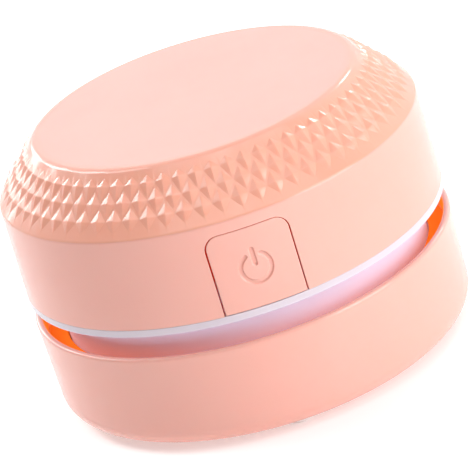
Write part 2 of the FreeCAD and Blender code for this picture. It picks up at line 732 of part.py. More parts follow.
def makeMotorScrews():
    # Two screws from the impeller's side, through the deck and into the floor of the can.
    body = newBody("motor_screws")
    headSketch = newSketch(body, "XY_Plane", "deckBottom")
    circle(headSketch, "0", "motorScrewCircle", "motorHeadRadius")
    circle(headSketch, "0", "-motorScrewCircle", "motorHeadRadius")
    pad(body, headSketch, "motorHeadHeight", flipped=True)
    shankSketch = newSketch(body, "XY_Plane", "deckBottom")
    circle(shankSketch, "0", "motorScrewCircle", "motorScrewRadius")
    circle(shankSketch, "0", "-motorScrewCircle", "motorScrewRadius")
    pad(body, shankSketch, "deckHeight + canWall")


def makeMotorMagnets():
    body = newBody("motor_magnets")
    low = "armatureBottom - magnetOverhang"
    high = "armatureTop + magnetOverhang"
    arc = revolve(body, [
        ("magnetRadius - magnetWall", low),
        ("magnetRadius", low),
        ("magnetRadius", high),
        ("magnetRadius - magnetWall", high),
    ], "magnetAngle")
    ringOf(body, [arc], "2")


def makeMotorTerminals():
    body = newBody("motor_terminals")
    sketch = newSketch(body, "XY_Plane", "endCapTop")
    near = "-terminalOffset"
    far = "-terminalOffset - terminalThickness"
    half = "terminalWidth / 2"
    box(sketch, far, near, f"terminalSpread - {half}", f"terminalSpread + {half}")
    box(sketch, far, near, f"-terminalSpread - {half}", f"-terminalSpread + {half}")
    pad(body, sketch, "terminalHeight")


def makeMotorLeads():
    # Each lead leaves its terminal sideways and turns down to the board, in a plane across Y.
    # The bend is an arc between the two straight runs.
    body = newBody("motor_leads")
    for side in ("-terminalSpread", "terminalSpread"):
        start = "-terminalOffset - terminalThickness"
        height = "endCapTop + terminalHeight / 2"
        ends = newSketch(body, "YZ_Plane", start)
        circle(ends, side, height, "leadRadius")
        pad(body, ends, "leadReach - leadBend + " + start, flipped=True)
        drop = newSketch(body, "XY_Plane", "boardTop")
        circle(drop, "-leadReach", side, "leadRadius")
        pad(body, drop, height + " - leadBend - boardTop")
        bendSketch = newSketch(body, "XY_Plane", height + " - leadBend")
        circle(bendSketch, "-leadReach", side, "leadRadius")
        hinge = newSketch(body, "XY_Plane", height + " - leadBend")
        axis = hinge.addGeometry(Part.LineSegment(FreeCAD.Vector(-1, -1, 0), FreeCAD.Vector(-1, 1, 0)))
        fix(hinge, "DistanceX", axis, 1, "leadBend - leadReach")
        fix(hinge, "DistanceX", axis, 2, "leadBend - leadReach")
        fix(hinge, "DistanceY", axis, 1, "-terminalSpread")
        fix(hinge, "DistanceY", axis, 2, "terminalSpread")
        bend = body.newObject("PartDesign::Revolution", "leadBend")
        bend.Profile = bendSketch
        bend.ReferenceAxis = (hinge, ["Edge1"])
        bend.Angle = 90


def makeMotorShaft():
    body = newBody("motor_shaft")
    sketch = disc(body, "fanBottom", "0", "shaftRadius")
    pad(body, sketch, "endCapTop - fanBottom")


def makeImpeller():
    body = newBody("impeller")
    revolve(body, [
        ("shaftRadius", "fanBottom"),
        ("fanHub", "fanBottom"),
        ("fanHub", "bladeTop"),
        ("fanRadius", "bladeTop"),
        ("fanRadius", "fanTop"),
        ("shaftRadius", "fanTop"),
    ])
    bladeSketch = outline(newSketch(body, "XY_Plane", "fanBottom"), [
        ("bladeRoot", "0"),
        ("fanRadius - bladeWall", "-bladeSweep"),
        ("fanRadius - bladeWall", "bladeWall - bladeSweep"),
        ("bladeRoot", "bladeWall"),
    ])
    ringOf(body, [pad(body, bladeSketch, "fanTop - fanBottom")], "bladeCount")


# ---------------------------------------------------------------- barrel, cap and button


def makeUpperHousing():
    body = newBody("upper_housing")
    revolve(body, [
        ("housingBoreFoot", "ringTop"),
        ("ringRadius", "ringTop"),
        ("seamRadius", "seamLevel"),
        ("housingBoreSeam", "seamLevel"),
    ])
    notchSketch = newSketch(body, "XZ_Plane")
    half = "buttonWidth / 2 + buttonGap"
    box(notchSketch, f"-({half})", half, "ringBottom", "notchTop")
    cut(body, notchSketch, "ringRadius + 1", flipped=True)
    halfNotch = sheet.buttonWidth / 2 + sheet.buttonGap
    rounded(body, lambda edge: isDeepCorner(edge, halfNotch, levels.notchTop), "buttonCorner + buttonGap")
    usbSketch = newSketch(body, "XZ_Plane")
    halfUsb = "usbWidth / 2 + usbGap"
    box(usbSketch, f"-({halfUsb})", halfUsb, "boardTop - usbGap", "boardTop + usbHeight + usbGap")
    cut(body, usbSketch, "ringRadius + 1", flipped=False)
    halfMouth = sheet.usbWidth / 2 + sheet.usbGap
    lowMouth = levels.boardTop - sheet.usbGap
    highMouth = levels.boardTop + sheet.usbHeight + sheet.usbGap
    rounded(body, lambda edge: isDeepCorner(edge, halfMouth, lowMouth)
            or isDeepCorner(edge, halfMouth, highMouth), "usbCorner + usbGap")
    bossSketch = disc(body, "boardTop", "-columnCircle", "bossRadius")
    boss = pad(body, bossSketch, "bossTop - boardTop")
    ribSketch = newSketch(body, "XY_Plane", "boardTop")
    box(ribSketch, "-housingBoreSeam - housingWall / 2", "-columnCircle", "-ribWidth / 2", "ribWidth / 2")
    rib = pad(body, ribSketch, "bossTop - boardTop")
    pilotSketch = disc(body, "boardTop", "-columnCircle", "screwRadius")
    ringOf(body, [boss, rib, cut(body, pilotSketch, "screwTip - boardTop")], "columnCount")


def makeGripCap():
    body = newBody("grip_cap")
    revolve(body, [
        ("0", "capTop"),
        ("capTopRadius", "capTop"),
        ("seamRadius", "seamLevel"),
        ("plugRadius", "seamLevel"),
        ("plugRadius", "plugBottom"),
        ("plugRadius - plugWall", "plugBottom"),
        ("plugRadius - plugWall", "seamLevel"),
        ("capTopRadius - capWall", "capCeiling"),
        ("0", "capCeiling"),
    ])
    rounded(body, lambda edge: isCircle(edge, levels.capTopRadius, levels.capTop), "capFillet")


def makeHousingScrews():
    body = newBody("housing_screws")
    headSketch = disc(body, "headLevel - screwHeadHeight", "-columnCircle", "screwHeadRadius")
    head = pad(body, headSketch, "screwHeadHeight")
    shankSketch = disc(body, "headLevel", "-columnCircle", "screwRadius")
    shank = pad(body, shankSketch, "screwTip - headLevel")
    ringOf(body, [head, shank], "columnCount")


def makePowerButton():
    # A slice of the barrel's wall, with a wider stop flange behind the wall and a stem.
    # It is turned on the YZ plane, so radii towards the front are negative.
    body = newBody("power_button")
    revolve(body, [
        ("-(buttonFootRadius - housingWall)", "buttonBottom"),
        ("-buttonFootRadius", "buttonBottom"),
        ("-buttonHeadRadius", "buttonTop"),
        ("-(buttonHeadRadius - housingWall)", "buttonTop"),
        ("-(buttonHeadRadius - housingWall)", "lugTop"),
        ("-lugBore", "lugTop"),
        ("-lugBore", "lugBottom"),
        ("-(buttonFootRadius - housingWall)", "lugBottom"),
    ], "2 * asin(buttonWidth / lugBore)", "YZ_Plane")
    trimSketch = newSketch(body, "XZ_Plane")
    box(trimSketch, "-ringRadius", "-buttonWidth / 2", "0", "capTop")
    box(trimSketch, "buttonWidth / 2", "ringRadius", "0", "capTop")
    cut(body, trimSketch, "ringRadius + 1")
    halfButton = sheet.buttonWidth / 2
    rounded(body, lambda edge: isDeepCorner(edge, halfButton, levels.buttonTop), "buttonCorner")
    revolve(body, [
        ("-lugBore", "lugBottom"),
        ("-lugRadius", "lugBottom"),
        ("-lugRadius", "lugTop"),
        ("-lugBore", "lugTop"),
    ], "2 * asin(lugWidth / 2 / lugRadius)", "YZ_Plane")
    stemStart = "plungerRest + stemTouch"
    stemSketch = circle(newSketch(body, "XZ_Plane", stemStart), "0", "plungerLevel", "stemRadius")
    pad(body, stemSketch, "lugRadius - plungerRest - stemTouch")


# ---------------------------------------------------------------- board, switch, socket and light


def makeControlBoard():
    body = newBody("control_board")
    revolve(body, [
        ("socketRadius + boardHoleGap", "boardBottom"),
        ("boardRadius", "boardBottom"),
        ("boardRadius", "boardTop"),
        ("socketRadius + boardHoleGap", "boardTop"),
    ])
    frontSketch = newSketch(body, "XY_Plane", "boardBottom")
    box(frontSketch, "-boardRadius", "boardRadius", "-ringRadius", "-boardFlat")
    cut(body, frontSketch, "boardHeight")
    holeSketch = disc(body, "boardBottom", "-columnCircle", "screwRadius + seatGap")
    ringOf(body, [cut(body, holeSketch, "boardHeight")], "columnCount")


def makeSwitchBody():
    body = newBody("switch_body")
    front = "switchSink - plungerRest"
    blockSketch = newSketch(body, "XY_Plane", "boardTop")
    box(blockSketch, "-switchWidth / 2", "switchWidth / 2", front, front + " + switchDepth")
    pad(body, blockSketch, "switchHeight")
    boreSketch = newSketch(body, "XZ_Plane", "plungerRest - switchSink")
    circle(boreSketch, "0", "plungerLevel", "plungerRadius + plungerGap")
    cut(body, boreSketch, "plungerLength - switchSink + buttonTravel + boreSpare", flipped=False)


def makeSwitchPlunger():
    body = newBody("switch_plunger")
    sketch = circle(newSketch(body, "XZ_Plane", "plungerRest"), "0", "plungerLevel", "plungerRadius")
    pad(body, sketch, "plungerLength", flipped=True)


def makeUsbShell():
    # The hole's corners are rounded before the outer ones, so that the wall stays closed there.
    body = newBody("usb_shell")
    shellSketch = newSketch(body, "XZ_Plane", "-usbMouth")
    box(shellSketch, "-usbWidth / 2", "usbWidth / 2", "boardTop", "boardTop + usbHeight")
    pad(body, shellSketch, "usbDepth")
    holeSketch = newSketch(body, "XZ_Plane", "-usbMouth")
    halfHole = "usbWidth / 2 - usbWall"
    box(holeSketch, f"-({halfHole})", halfHole, "boardTop + usbWall", "boardTop + usbHeight - usbWall")
    cut(body, holeSketch, "usbDepth - usbWall")
    halfOuter = sheet.usbWidth / 2
    low = levels.boardTop
    high = low + sheet.usbHeight
    wall = sheet.usbWall
    rounded(body, lambda edge: isDeepCorner(edge, halfOuter - wall, low + wall)
            or isDeepCorner(edge, halfOuter - wall, high - wall), "usbCorner - usbWall")
    rounded(body, lambda edge: isDeepCorner(edge, halfOuter, low)
            or isDeepCorner(edge, halfOuter, high), "usbCorner")


def makeUsbTongue():
    body = newBody("usb_tongue")
    sketch = newSketch(body, "XZ_Plane", "tongueSink - usbMouth")
    low = "usbLevel - tongueHeight / 2"
    box(sketch, "-tongueWidth / 2", "tongueWidth / 2", low, low + " + tongueHeight")
    pad(body, sketch, "usbDepth - tongueSink - usbWall")


def makeStatusLed():
    body = newBody("status_led")
    sketch = newSketch(body, "XY_Plane", "boardTop")
    box(sketch, "ledOffset - ledWidth / 2", "ledOffset + ledWidth / 2", "ledCircle - ledDepth", "ledCircle")
    pad(body, sketch, "ledHeight")


def makeBoardParts():
    body = newBody("board_parts")
    chipSketch = newSketch(body, "XY_Plane", "boardTop")
    chipLeft = "-partReach - chipWidth / 2"
    chipFront = "chipY - chipLength / 2"
    box(chipSketch, chipLeft, chipLeft + " + chipWidth", chipFront, chipFront + " + chipLength")
    pad(body, chipSketch, "chipHeight")
    coilSketch = circle(newSketch(body, "XY_Plane", "boardTop"), "-partReach", "coilY", "coilRadius")
    pad(body, coilSketch, "coilHeight")


# ---------------------------------------------------------------- battery


def makeBatteryCell():
    body = newBody("battery_cell")
    sketch = circle(newSketch(body, "XZ_Plane"), "cellOffset", "cellLevel", "cellRadius")
    pad(body, sketch, "2 * cellReach", middle=True)


def makeBatteryTabs():
    body = newBody("battery_tabs")
    left = "cellOffset - tabWidth / 2"
    for side, back in (("", False), ("-", True)):
        sketch = newSketch(body, "XZ_Plane", side + "cellReach")
        box(sketch, left, left + " + tabWidth", "boardTop", "cellLevel + tabOverlap")
        pad(body, sketch, "tabThickness", flipped=back)


def makeBatteryCradle():
    body = newBody("battery_cradle")
    blockSketch = newSketch(body, "XZ_Plane")
    left = "cellOffset - cradleWidth / 2"
    box(blockSketch, left, left + " + cradleWidth", "boardTop", "boardTop + cradleHeight")
    pad(body, blockSketch, "2 * (cellReach - cradleInset)", middle=True)
    troughSketch = circle(newSketch(body, "XZ_Plane"), "cellOffset", "cellLevel", "cellRadius + seatGap")
    cut(body, troughSketch, "2 * (cellReach - cradleInset)", middle=True)


# ---------------------------------------------------------------- the whole object

makeDustCup()
makeRing("inlet_tube", "inletRadius", "tubeRadius", "recessTop", "tubeTop")
makeLockCollar()
makeBrushPlate()
makeBrushTufts()
makeGlidePads()
makePlateScrews()

makeFilterFrame()
makeFilterDisc("filter_mesh", "meshBottom", "meshHeight")
makeFilterDisc("filter_pad", "padBottom", "padHeight")
retainerBore = "frameBore - retainerWidth"
makeRing("filter_retainer", retainerBore, "frameBore - seatGap", "retainerBottom", "meshBottom")
makeRing("filter_seal", "skirtRadius - sealWidth", "skirtRadius", "sealBottom", "sealTop")

makeFanHousing()
makeMotorDeck()
makeMotorCan()
makeRing("motor_end_cap", "bushRadius", "canRadius", "canTop", "endCapTop")
makeRing("lower_bush", "bushBore", "bushRadius", "bushBottom", "bushBottom + bushLength")
makeRing("upper_bush", "bushBore", "bushRadius", "canTop", "endCapTop")
makeMotorMagnets()
sleeveTop = "deckTop + socketHeight"
makeRing("motor_sleeve", "canRadius + seatGap", "socketBore - seatGap", "deckTop", sleeveTop)
makeMotorScrews()
makeMotorTerminals()
makeMotorLeads()
makeMotorShaft()
makeRing("motor_armature", "shaftRadius", "armatureRadius", "armatureBottom", "armatureTop")
commutatorTop = "armatureTop + commutatorLength"
makeRing("commutator", "shaftRadius", "commutatorRadius", "armatureTop", commutatorTop)
makeImpeller()

makeUpperHousing()
makeGripCap()
makeHousingScrews()
makePowerButton()

makeControlBoard()
makeSwitchBody()
makeSwitchPlunger()
makeUsbShell()
makeUsbTongue()
makeStatusLed()
makeBoardParts()
makeBatteryCell()
makeBatteryTabs()
makeBatteryCradle()

doc.recompute()

# ---------------------------------------------------------------- checks and files

for item in doc.Objects:
    faults = [state for state in item.State if state in ("Invalid", "Error")]
    if faults:
        raise RuntimeError(f"{item.Name} ({item.Label}) is {faults}")

for node in nodes:
    if node.Shape.isNull() or not node.Shape.isValid() or not node.Shape.Solids:
        raise RuntimeError(f"{node.Label} has no valid shape")

os.makedirs("parts", exist_ok=True)
for node in nodes:
    node.Shape.exportStep(f"parts/{node.Label}.step")
    corners = node.Shape.BoundBox
    print(f"{node.Label}: {len(node.Shape.Solids)} solids, {node.Shape.Volume:.1f} mm3, "
          f"levels {corners.ZMin:.2f} to {corners.ZMax:.2f}")
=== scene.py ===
import json
import math
import bmesh
import bpy
import numpy as np
from mathutils import Matrix, Vector

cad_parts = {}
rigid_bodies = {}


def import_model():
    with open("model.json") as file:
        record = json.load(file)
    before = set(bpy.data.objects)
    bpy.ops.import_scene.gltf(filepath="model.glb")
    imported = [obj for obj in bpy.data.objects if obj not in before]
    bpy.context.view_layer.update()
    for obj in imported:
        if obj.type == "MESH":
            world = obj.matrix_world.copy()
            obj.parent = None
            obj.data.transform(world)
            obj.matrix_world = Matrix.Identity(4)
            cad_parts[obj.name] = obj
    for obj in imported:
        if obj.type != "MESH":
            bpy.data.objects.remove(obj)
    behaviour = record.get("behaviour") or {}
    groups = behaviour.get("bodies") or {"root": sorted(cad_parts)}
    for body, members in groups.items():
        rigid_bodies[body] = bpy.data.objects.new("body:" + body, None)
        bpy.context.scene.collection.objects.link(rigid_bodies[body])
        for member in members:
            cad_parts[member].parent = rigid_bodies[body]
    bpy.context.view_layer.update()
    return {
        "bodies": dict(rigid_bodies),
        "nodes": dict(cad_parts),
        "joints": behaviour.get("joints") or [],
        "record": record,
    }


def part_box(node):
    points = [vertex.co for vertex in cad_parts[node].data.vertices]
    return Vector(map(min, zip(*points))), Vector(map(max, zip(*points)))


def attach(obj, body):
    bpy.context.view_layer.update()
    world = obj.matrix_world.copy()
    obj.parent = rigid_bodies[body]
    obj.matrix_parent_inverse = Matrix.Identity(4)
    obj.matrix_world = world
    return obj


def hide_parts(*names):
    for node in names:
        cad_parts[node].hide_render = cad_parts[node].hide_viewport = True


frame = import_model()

# Desk vacuum cleaner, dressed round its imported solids.
# Shapes are worked out in millimetres. An angle of 0 is the front, at -Y, and 90 degrees is +X.

mm = 0.001
mergeDistance = 0.0005  # points of one piece that are nearer than this are the same point
smallTurn = 32  # columns of a small turned shape
scene = bpy.context.scene
nodes = frame["nodes"]


def nodeLevels(name):  # lowest and highest level of a solid node
    low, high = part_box(name)
    return low.z / mm, high.z / mm


def nodeReach(name):  # how far a node reaches along +X
    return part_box(name)[1].x / mm


cupBase, cupLip = nodeLevels("dust_cup")
bodyRadius = nodeReach("dust_cup")
ringTop, seamLevel = nodeLevels("upper_housing")
plugBottom, capTop = nodeLevels("grip_cap")
seamRadius = nodeReach("grip_cap")
skirtBottom, deckLevel = nodeLevels("fan_housing")
buttonBottom, buttonTop = nodeLevels("power_button")
print("stage: frame loaded,", len(nodes), "solid nodes")


def degrees(*angles):
    return np.radians(np.array(angles, float))


def roundAngles(columns):  # one turn in equal steps
    return np.arange(columns) * 2 * math.pi / columns


# Rows of two or more values, where any of them may be one number for all the rows.
def rowsOf(*values):
    return np.stack(np.broadcast_arrays(*values), axis=-1)


# Points about the Z axis: x = r sin a, y = -r cos a.
def polar(radius, angle, level):
    return rowsOf(radius * np.sin(angle), -radius * np.cos(angle), level)


def unit(vectors):
    return vectors / np.linalg.norm(vectors, axis=-1, keepdims=True)


# Pieces of an outline laid end to end, with each shared point kept once.
def joined(*pieces):
    return np.vstack([pieces[0]] + [piece[1:] for piece in pieces[1:]])


# The edges of a rectangle of two sets of values: up, across, down and, if closed, back again.
def frameOutline(across, up, closed=True):
    sides = [rowsOf(across[0], up), rowsOf(across, up[-1]), rowsOf(across[-1], up[::-1])]
    return joined(*sides, rowsOf(across[::-1], up[0]))[:-1] if closed else joined(*sides)


# Corners of (radius, level, rounding) become one outline. Each arc touches both legs of its corner,
# and its points are a spherical blend between the two places where it touches.
def roundedOutline(corners, closed=True, steps=5):
    spots = np.array([corner[:2] for corner in corners], float)
    outline = []
    for number, corner in enumerate(corners):
        here = spots[number]
        atEnd = not closed and number in (0, len(corners) - 1)
        if not corner[2] or atEnd:
            outline.append(here[None])
            continue
        before = unit(spots[number - 1] - here)
        after = unit(spots[(number + 1) % len(corners)] - here)
        half = math.acos(float(np.clip(before @ after, -1, 1))) / 2
        centre = here + unit(before + after) * corner[2] / math.sin(half)
        reach = corner[2] / math.tan(half)
        start = here + before * reach - centre
        end = here + after * reach - centre
        swing = math.pi - 2 * half
        share = np.linspace(0, 1, steps + 1)[:, None]
        blend = np.sin((1 - share) * swing) * start + np.sin(share * swing) * end
        outline.append(centre + blend / math.sin(swing))
    return np.vstack(outline)


# A profile of (radius, level) rows carried round the Z axis.
def aroundAxis(profile, angles):
    return polar(profile[:, :1], angles, profile[:, 1:])


# Four-sided faces between neighbouring rows and columns of a grid of points.
def gridFaces(rows, columns, closedRows=False, closedColumns=True):
    row = np.arange(rows if closedRows else rows - 1)[:, None]
    column = np.arange(columns if closedColumns else columns - 1)
    nextRow = (row + 1) % rows
    nextColumn = (column + 1) % columns
    return rowsOf(row * columns + column, row * columns + nextColumn,
                  nextRow * columns + nextColumn, nextRow * columns + column)


# A ring with a closed profile, or with an open one that starts and ends on the axis.
def turnedShell(corners, columns=180, closed=True, steps=5):
    profile = roundedOutline(corners, closed, steps)
    return aroundAxis(profile, roundAngles(columns)), gridFaces(len(profile), columns, closed)


# Copies of a shell beside the Z axis, at angles in degrees.
def copiesAround(points, faces, circle, angles):
    return [(points + polar(circle, angle, 0), faces) for angle in degrees(*angles)]


# Shells of points and faces become one object at the origin, which rides on a body.
# Doubles merge first, so that poles and seams close, and then faces are turned outwards.
def makePiece(name, shells, finish, body, replaces=(), wall=0, edge=0, crease=38):
    points, faces, count = [], [], 0
    for spots, corners in shells:
        spots = spots.reshape(-1, 3)
        points.append(spots * mm)
        faces += (corners.reshape(-1, corners.shape[-1]) + count).tolist()
        count += len(spots)
    mesh = bpy.data.meshes.new(name)
    mesh.from_pydata(np.vstack(points).tolist(), [], faces)
    work = bmesh.new()
    work.from_mesh(mesh)
    bmesh.ops.remove_doubles(work, verts=work.verts, dist=mergeDistance * mm)
    bmesh.ops.delete(work, geom=[spot for spot in work.verts if not spot.link_faces], context="VERTS")
    bmesh.ops.recalc_face_normals(work, faces=work.faces)
    work.to_mesh(mesh)
    work.free()
    mesh.shade_smooth()
    mesh.set_sharp_from_angle(angle=math.radians(crease))
    mesh.materials.append(finishes[finish])
    piece = bpy.data.objects.new(name, mesh)
    scene.collection.objects.link(piece)
    if wall:
        solid = piece.modifiers.new("wall", "SOLIDIFY")
        solid.thickness = wall * mm
        solid.offset = -1
        solid.use_even_offset = True
    if edge:
        bevel = piece.modifiers.new("edge", "BEVEL")
        bevel.width = edge * mm
        bevel.segments = 2
        bevel.limit_method = "ANGLE"
        bevel.angle_limit = math.radians(crease)
    normals = piece.modifiers.new("evenShading", "WEIGHTED_NORMAL")
    normals.keep_sharp = True
    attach(piece, body)
    if replaces:
        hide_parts(*replaces)


# Materials. A value for a node sets an input or a setting, or links another node's output.
def setUp(tree, node, values):
    for key, value in values.items():
        if isinstance(value, bpy.types.NodeSocket):
            tree.links.new(value, node.inputs[key])
        elif isinstance(key, str) and hasattr(node, key):
            setattr(node, key, value)
        else:
            node.inputs[key].default_value = value
    return node


def addNode(tree, kind, values):
    return setUp(tree, tree.nodes.new("ShaderNode" + kind), values)


def shaderOf(material):
    return material.node_tree, material.node_tree.nodes["Principled BSDF"]


def newMaterial(name):
    material = bpy.data.materials.new(name)
    material.use_nodes = True
    return (material, *shaderOf(material))


def objectPlace(tree):
    return addNode(tree, "TexCoord", {}).outputs["Object"]


# Noise in object space, with its own scale in repeats per metre.
def objectNoise(tree, scale, detail, stretch=(1, 1, 1)):
    mapping = addNode(tree, "Mapping", {"Vector": objectPlace(tree), "Scale": stretch})
    noise = addNode(tree, "TexNoise", {"Vector": mapping.outputs["Vector"], "Scale": scale, "Detail": detail})
    return noise.outputs["Fac"]


# Waves along one axis. A wave texture of scale 1 repeats every pi / 10 of its coordinate.
def objectWaves(tree, axis, repeatsPerMetre, distortion=0):
    waves = addNode(tree, "TexWave", {"bands_direction": axis, "Vector": objectPlace(tree),
                                      "Scale": repeatsPerMetre * math.pi / 10, "Distortion": distortion})
    return waves.outputs["Fac"]


def calculated(tree, operation, *values):
    return addNode(tree, "Math", {"operation": operation, **dict(enumerate(values))}).outputs["Value"]


# A value carried from one range to another, and held at its ends.
def mapped(tree, value, start, end, low=0, high=1):
    share = addNode(tree, "MapRange", {"Value": value, "From Min": start, "From Max": end,
                                       "To Min": low, "To Max": high})
    return share.outputs["Result"]


# A ramp between two colours, or between two greys for roughness, driven by one output.
def ramp(tree, source, low, high, start=0.35, end=0.65):
    node = addNode(tree, "ValToRGB", {"Fac": source})
    stops = node.color_ramp.elements
    stops[0].position, stops[1].position = start, end
    stops[0].color, stops[1].color = (*low, 1), (*high, 1)
    return node.outputs["Color"]


def addBump(tree, shader, height, strength, depth):
    bump = addNode(tree, "Bump", {"Height": height, "Strength": strength, "Distance": depth * mm})
    setUp(tree, shader, {"Normal": bump.outputs["Normal"]})
    return bump


# A tint laid over the colour that the shader already has.
def addTint(tree, shader, amount, tint):
    plain = shader.inputs["Base Color"].links[0].from_socket
    blend = addNode(tree, "Mix", {"data_type": "RGBA", 0: amount, 6: plain, 7: (*tint, 1)})
    setUp(tree, shader, {"Base Color": blend.outputs[2]})


# The base of a finish: two close tints in soft clouds, and a roughness that follows another noise.
def addBase(tree, shader, look, drift):
    clouds = objectNoise(tree, look["cloudScale"], 3)
    smooth, rough = look["roughness"]
    setUp(tree, shader, {"Base Color": ramp(tree, clouds, look["dark"], look["light"]),
                         "Roughness": ramp(tree, drift, [smooth] * 3, [rough] * 3, 0.3, 0.7),
                         **look.get("inputs", {})})


plasticBase = {"cloudScale": 60, "grainScale": 1500, "grain": 0.1, "grainDepth": 0.02}
metalBase = {"cloudScale": 120, "grainScale": 900, "grain": 0.15, "grainDepth": 0.01, "stretch": (1, 1, 0.05)}


# A moulded plastic or rubber, with a fine skin.
def mouldedMaterial(name, look):
    material, tree, shader = newMaterial(name)
    look = {**plasticBase, **look}
    setUp(tree, shader, {"IOR": 1.49})
    addBase(tree, shader, look, objectNoise(tree, look["cloudScale"] * 4, 4))
    addBump(tree, shader, objectNoise(tree, look["grainScale"], 2), look["grain"], look["grainDepth"])
    return material


# A metal, with fine scratches that run along one axis.
def metalMaterial(name, look):
    material, tree, shader = newMaterial(name)
    look = {**metalBase, **look}
    scratches = objectNoise(tree, look["grainScale"], 3, look["stretch"])
    setUp(tree, shader, {"Metallic": 1})
    addBase(tree, shader, look, scratches)
    addBump(tree, shader, scratches, look["grain"], look["grainDepth"])
    return material


def finishLook(dark, light, roughness, **more):
    return {"dark": dark, "light": light, "roughness": roughness, **more}


def scattered(weight, depth, colour):  # light that spreads under the skin
    return {"Subsurface Weight": weight, "Subsurface Scale": depth * mm, "Subsurface Radius": colour}


mouldedLooks = {
    "salmonPlastic": finishLook(
        (0.870, 0.430, 0.355), (0.885, 0.450, 0.375), (0.13, 0.17), cloudScale=35, grainScale=1100,
        grain=0.04, grainDepth=0.01, inputs={"IOR": 1.50, **scattered(0.25, 0.5, (1.0, 0.42, 0.28))}),
    "whitePlastic": finishLook(
        (0.66, 0.580, 0.635), (0.70, 0.620, 0.675), (0.20, 0.26), cloudScale=40, grainScale=1300,
        grain=0.05, grainDepth=0.01, inputs=scattered(0.25, 0.4, (1.0, 0.8, 0.75))),
    "greyPlastic": finishLook((0.33, 0.34, 0.37), (0.38, 0.39, 0.42), (0.38, 0.48), grain=0.2),
    "glidePlastic": finishLook((0.80, 0.78, 0.76), (0.88, 0.86, 0.84), (0.3, 0.42)),
    "bristleNylon": finishLook((0.88, 0.86, 0.86), (0.95, 0.94, 0.94), (0.3, 0.4),
                               cloudScale=900, grain=0.05),
    "sealSilicone": finishLook((0.62, 0.62, 0.65), (0.70, 0.70, 0.73), (0.42, 0.55),
                               inputs=scattered(0.6, 1.0, (1.0, 0.9, 0.85))),
    "blackRubber": finishLook((0.012, 0.012, 0.013), (0.022, 0.022, 0.024), (0.6, 0.75), grain=0.3),
    "blackPlastic": finishLook((0.014, 0.014, 0.016), (0.024, 0.024, 0.027), (0.42, 0.55), grain=0.3),
    "fanPlastic": finishLook((0.055, 0.058, 0.063), (0.075, 0.078, 0.085), (0.4, 0.5), grain=0.2),
    "redInsulation": finishLook((0.42, 0.012, 0.010), (0.52, 0.020, 0.016), (0.35, 0.45)),
    "chipCompound": finishLook((0.012, 0.012, 0.013), (0.020, 0.020, 0.022), (0.5, 0.65), grain=0.5),
    "cellWrap": finishLook((0.020, 0.085, 0.28), (0.028, 0.105, 0.33), (0.18, 0.26), grain=0.15,
                           inputs={"Coat Weight": 0.4, "Coat Roughness": 0.12}),
    "lampLens": finishLook((0.85, 0.85, 0.75), (0.92, 0.92, 0.84), (0.1, 0.16), grain=0.05,
                           inputs=scattered(0.8, 0.6, (1.0, 0.95, 0.8))),
}
metalLooks = {
    "zincSteel": finishLook((0.50, 0.51, 0.53), (0.60, 0.61, 0.63), (0.24, 0.38)),
    "drawnSteel": finishLook((0.40, 0.41, 0.43), (0.48, 0.49, 0.51), (0.28, 0.42)),
    "sinteredBronze": finishLook((0.42, 0.24, 0.09), (0.52, 0.31, 0.12), (0.4, 0.55), stretch=(1, 1, 1)),
    "magnetFerrite": finishLook((0.04, 0.04, 0.042), (0.07, 0.07, 0.072), (0.5, 0.65), stretch=(1, 1, 1)),
    "bareCopper": finishLook((0.58, 0.25, 0.12), (0.70, 0.33, 0.17), (0.25, 0.4)),
    "nickelStrip": finishLook((0.52, 0.49, 0.44), (0.62, 0.59, 0.54), (0.25, 0.38), stretch=(0.05, 1, 1)),
}
finishes = {}


def addFinishes(make, looks):
    finishes.update({name: make(name, look) for name, look in looks.items()})


addFinishes(mouldedMaterial, mouldedLooks)
addFinishes(metalMaterial, metalLooks)

# Fine level bands of wire, matted fibres in fine stretched noise, and the higher one of two crossed
# sets of waves. Each has its own scale in repeats per metre.
patternLooks = {
    "enamelledWire": {
        "pattern": lambda tree: objectWaves(tree, "Z", 2200, distortion=0.6), "bump": 0.6, "depth": 0.08,
        "dark": (0.30, 0.10, 0.035), "light": (0.62, 0.25, 0.09), "between": (0.1, 0.9),
        "inputs": {"Metallic": 1, "Roughness": 0.32, "Coat Weight": 0.5},
    },
    "filterFelt": {
        "pattern": lambda tree: objectNoise(tree, 2600, 6, (1, 0.35, 1)), "bump": 0.7, "depth": 0.12,
        "dark": (0.66, 0.64, 0.58), "light": (0.84, 0.82, 0.77), "between": (0.3, 0.7),
        "inputs": {"Roughness": 0.92, "Sheen Weight": 0.3},
    },
    "wovenGauze": {
        "pattern": lambda tree: calculated(
            tree, "MAXIMUM", objectWaves(tree, "X", 2500), objectWaves(tree, "Y", 2500)),
        "bump": 0.8, "depth": 0.1, "dark": (0.10, 0.10, 0.11), "light": (0.62, 0.63, 0.65),
        "between": (0.45, 0.8), "inputs": {"Metallic": 0.8, "Roughness": 0.42},
    },
}


# One pattern drives both the colour and the bump.
def patternMaterial(name, look):
    material, tree, shader = newMaterial(name)
    pattern = look["pattern"](tree)
    tint = ramp(tree, pattern, look["dark"], look["light"], *look["between"])
    setUp(tree, shader, {"Base Color": tint, **look["inputs"]})
    addBump(tree, shader, pattern, look["bump"], look["depth"])
    return material


addFinishes(patternMaterial, patternLooks)

# Circuit board: green solder mask over copper tracks, which show as lighter cells.
boardLook = {"mask": (0.006, 0.085, 0.030, 1), "track": (0.016, 0.150, 0.055, 1), "cellsPerMetre": 120.0}


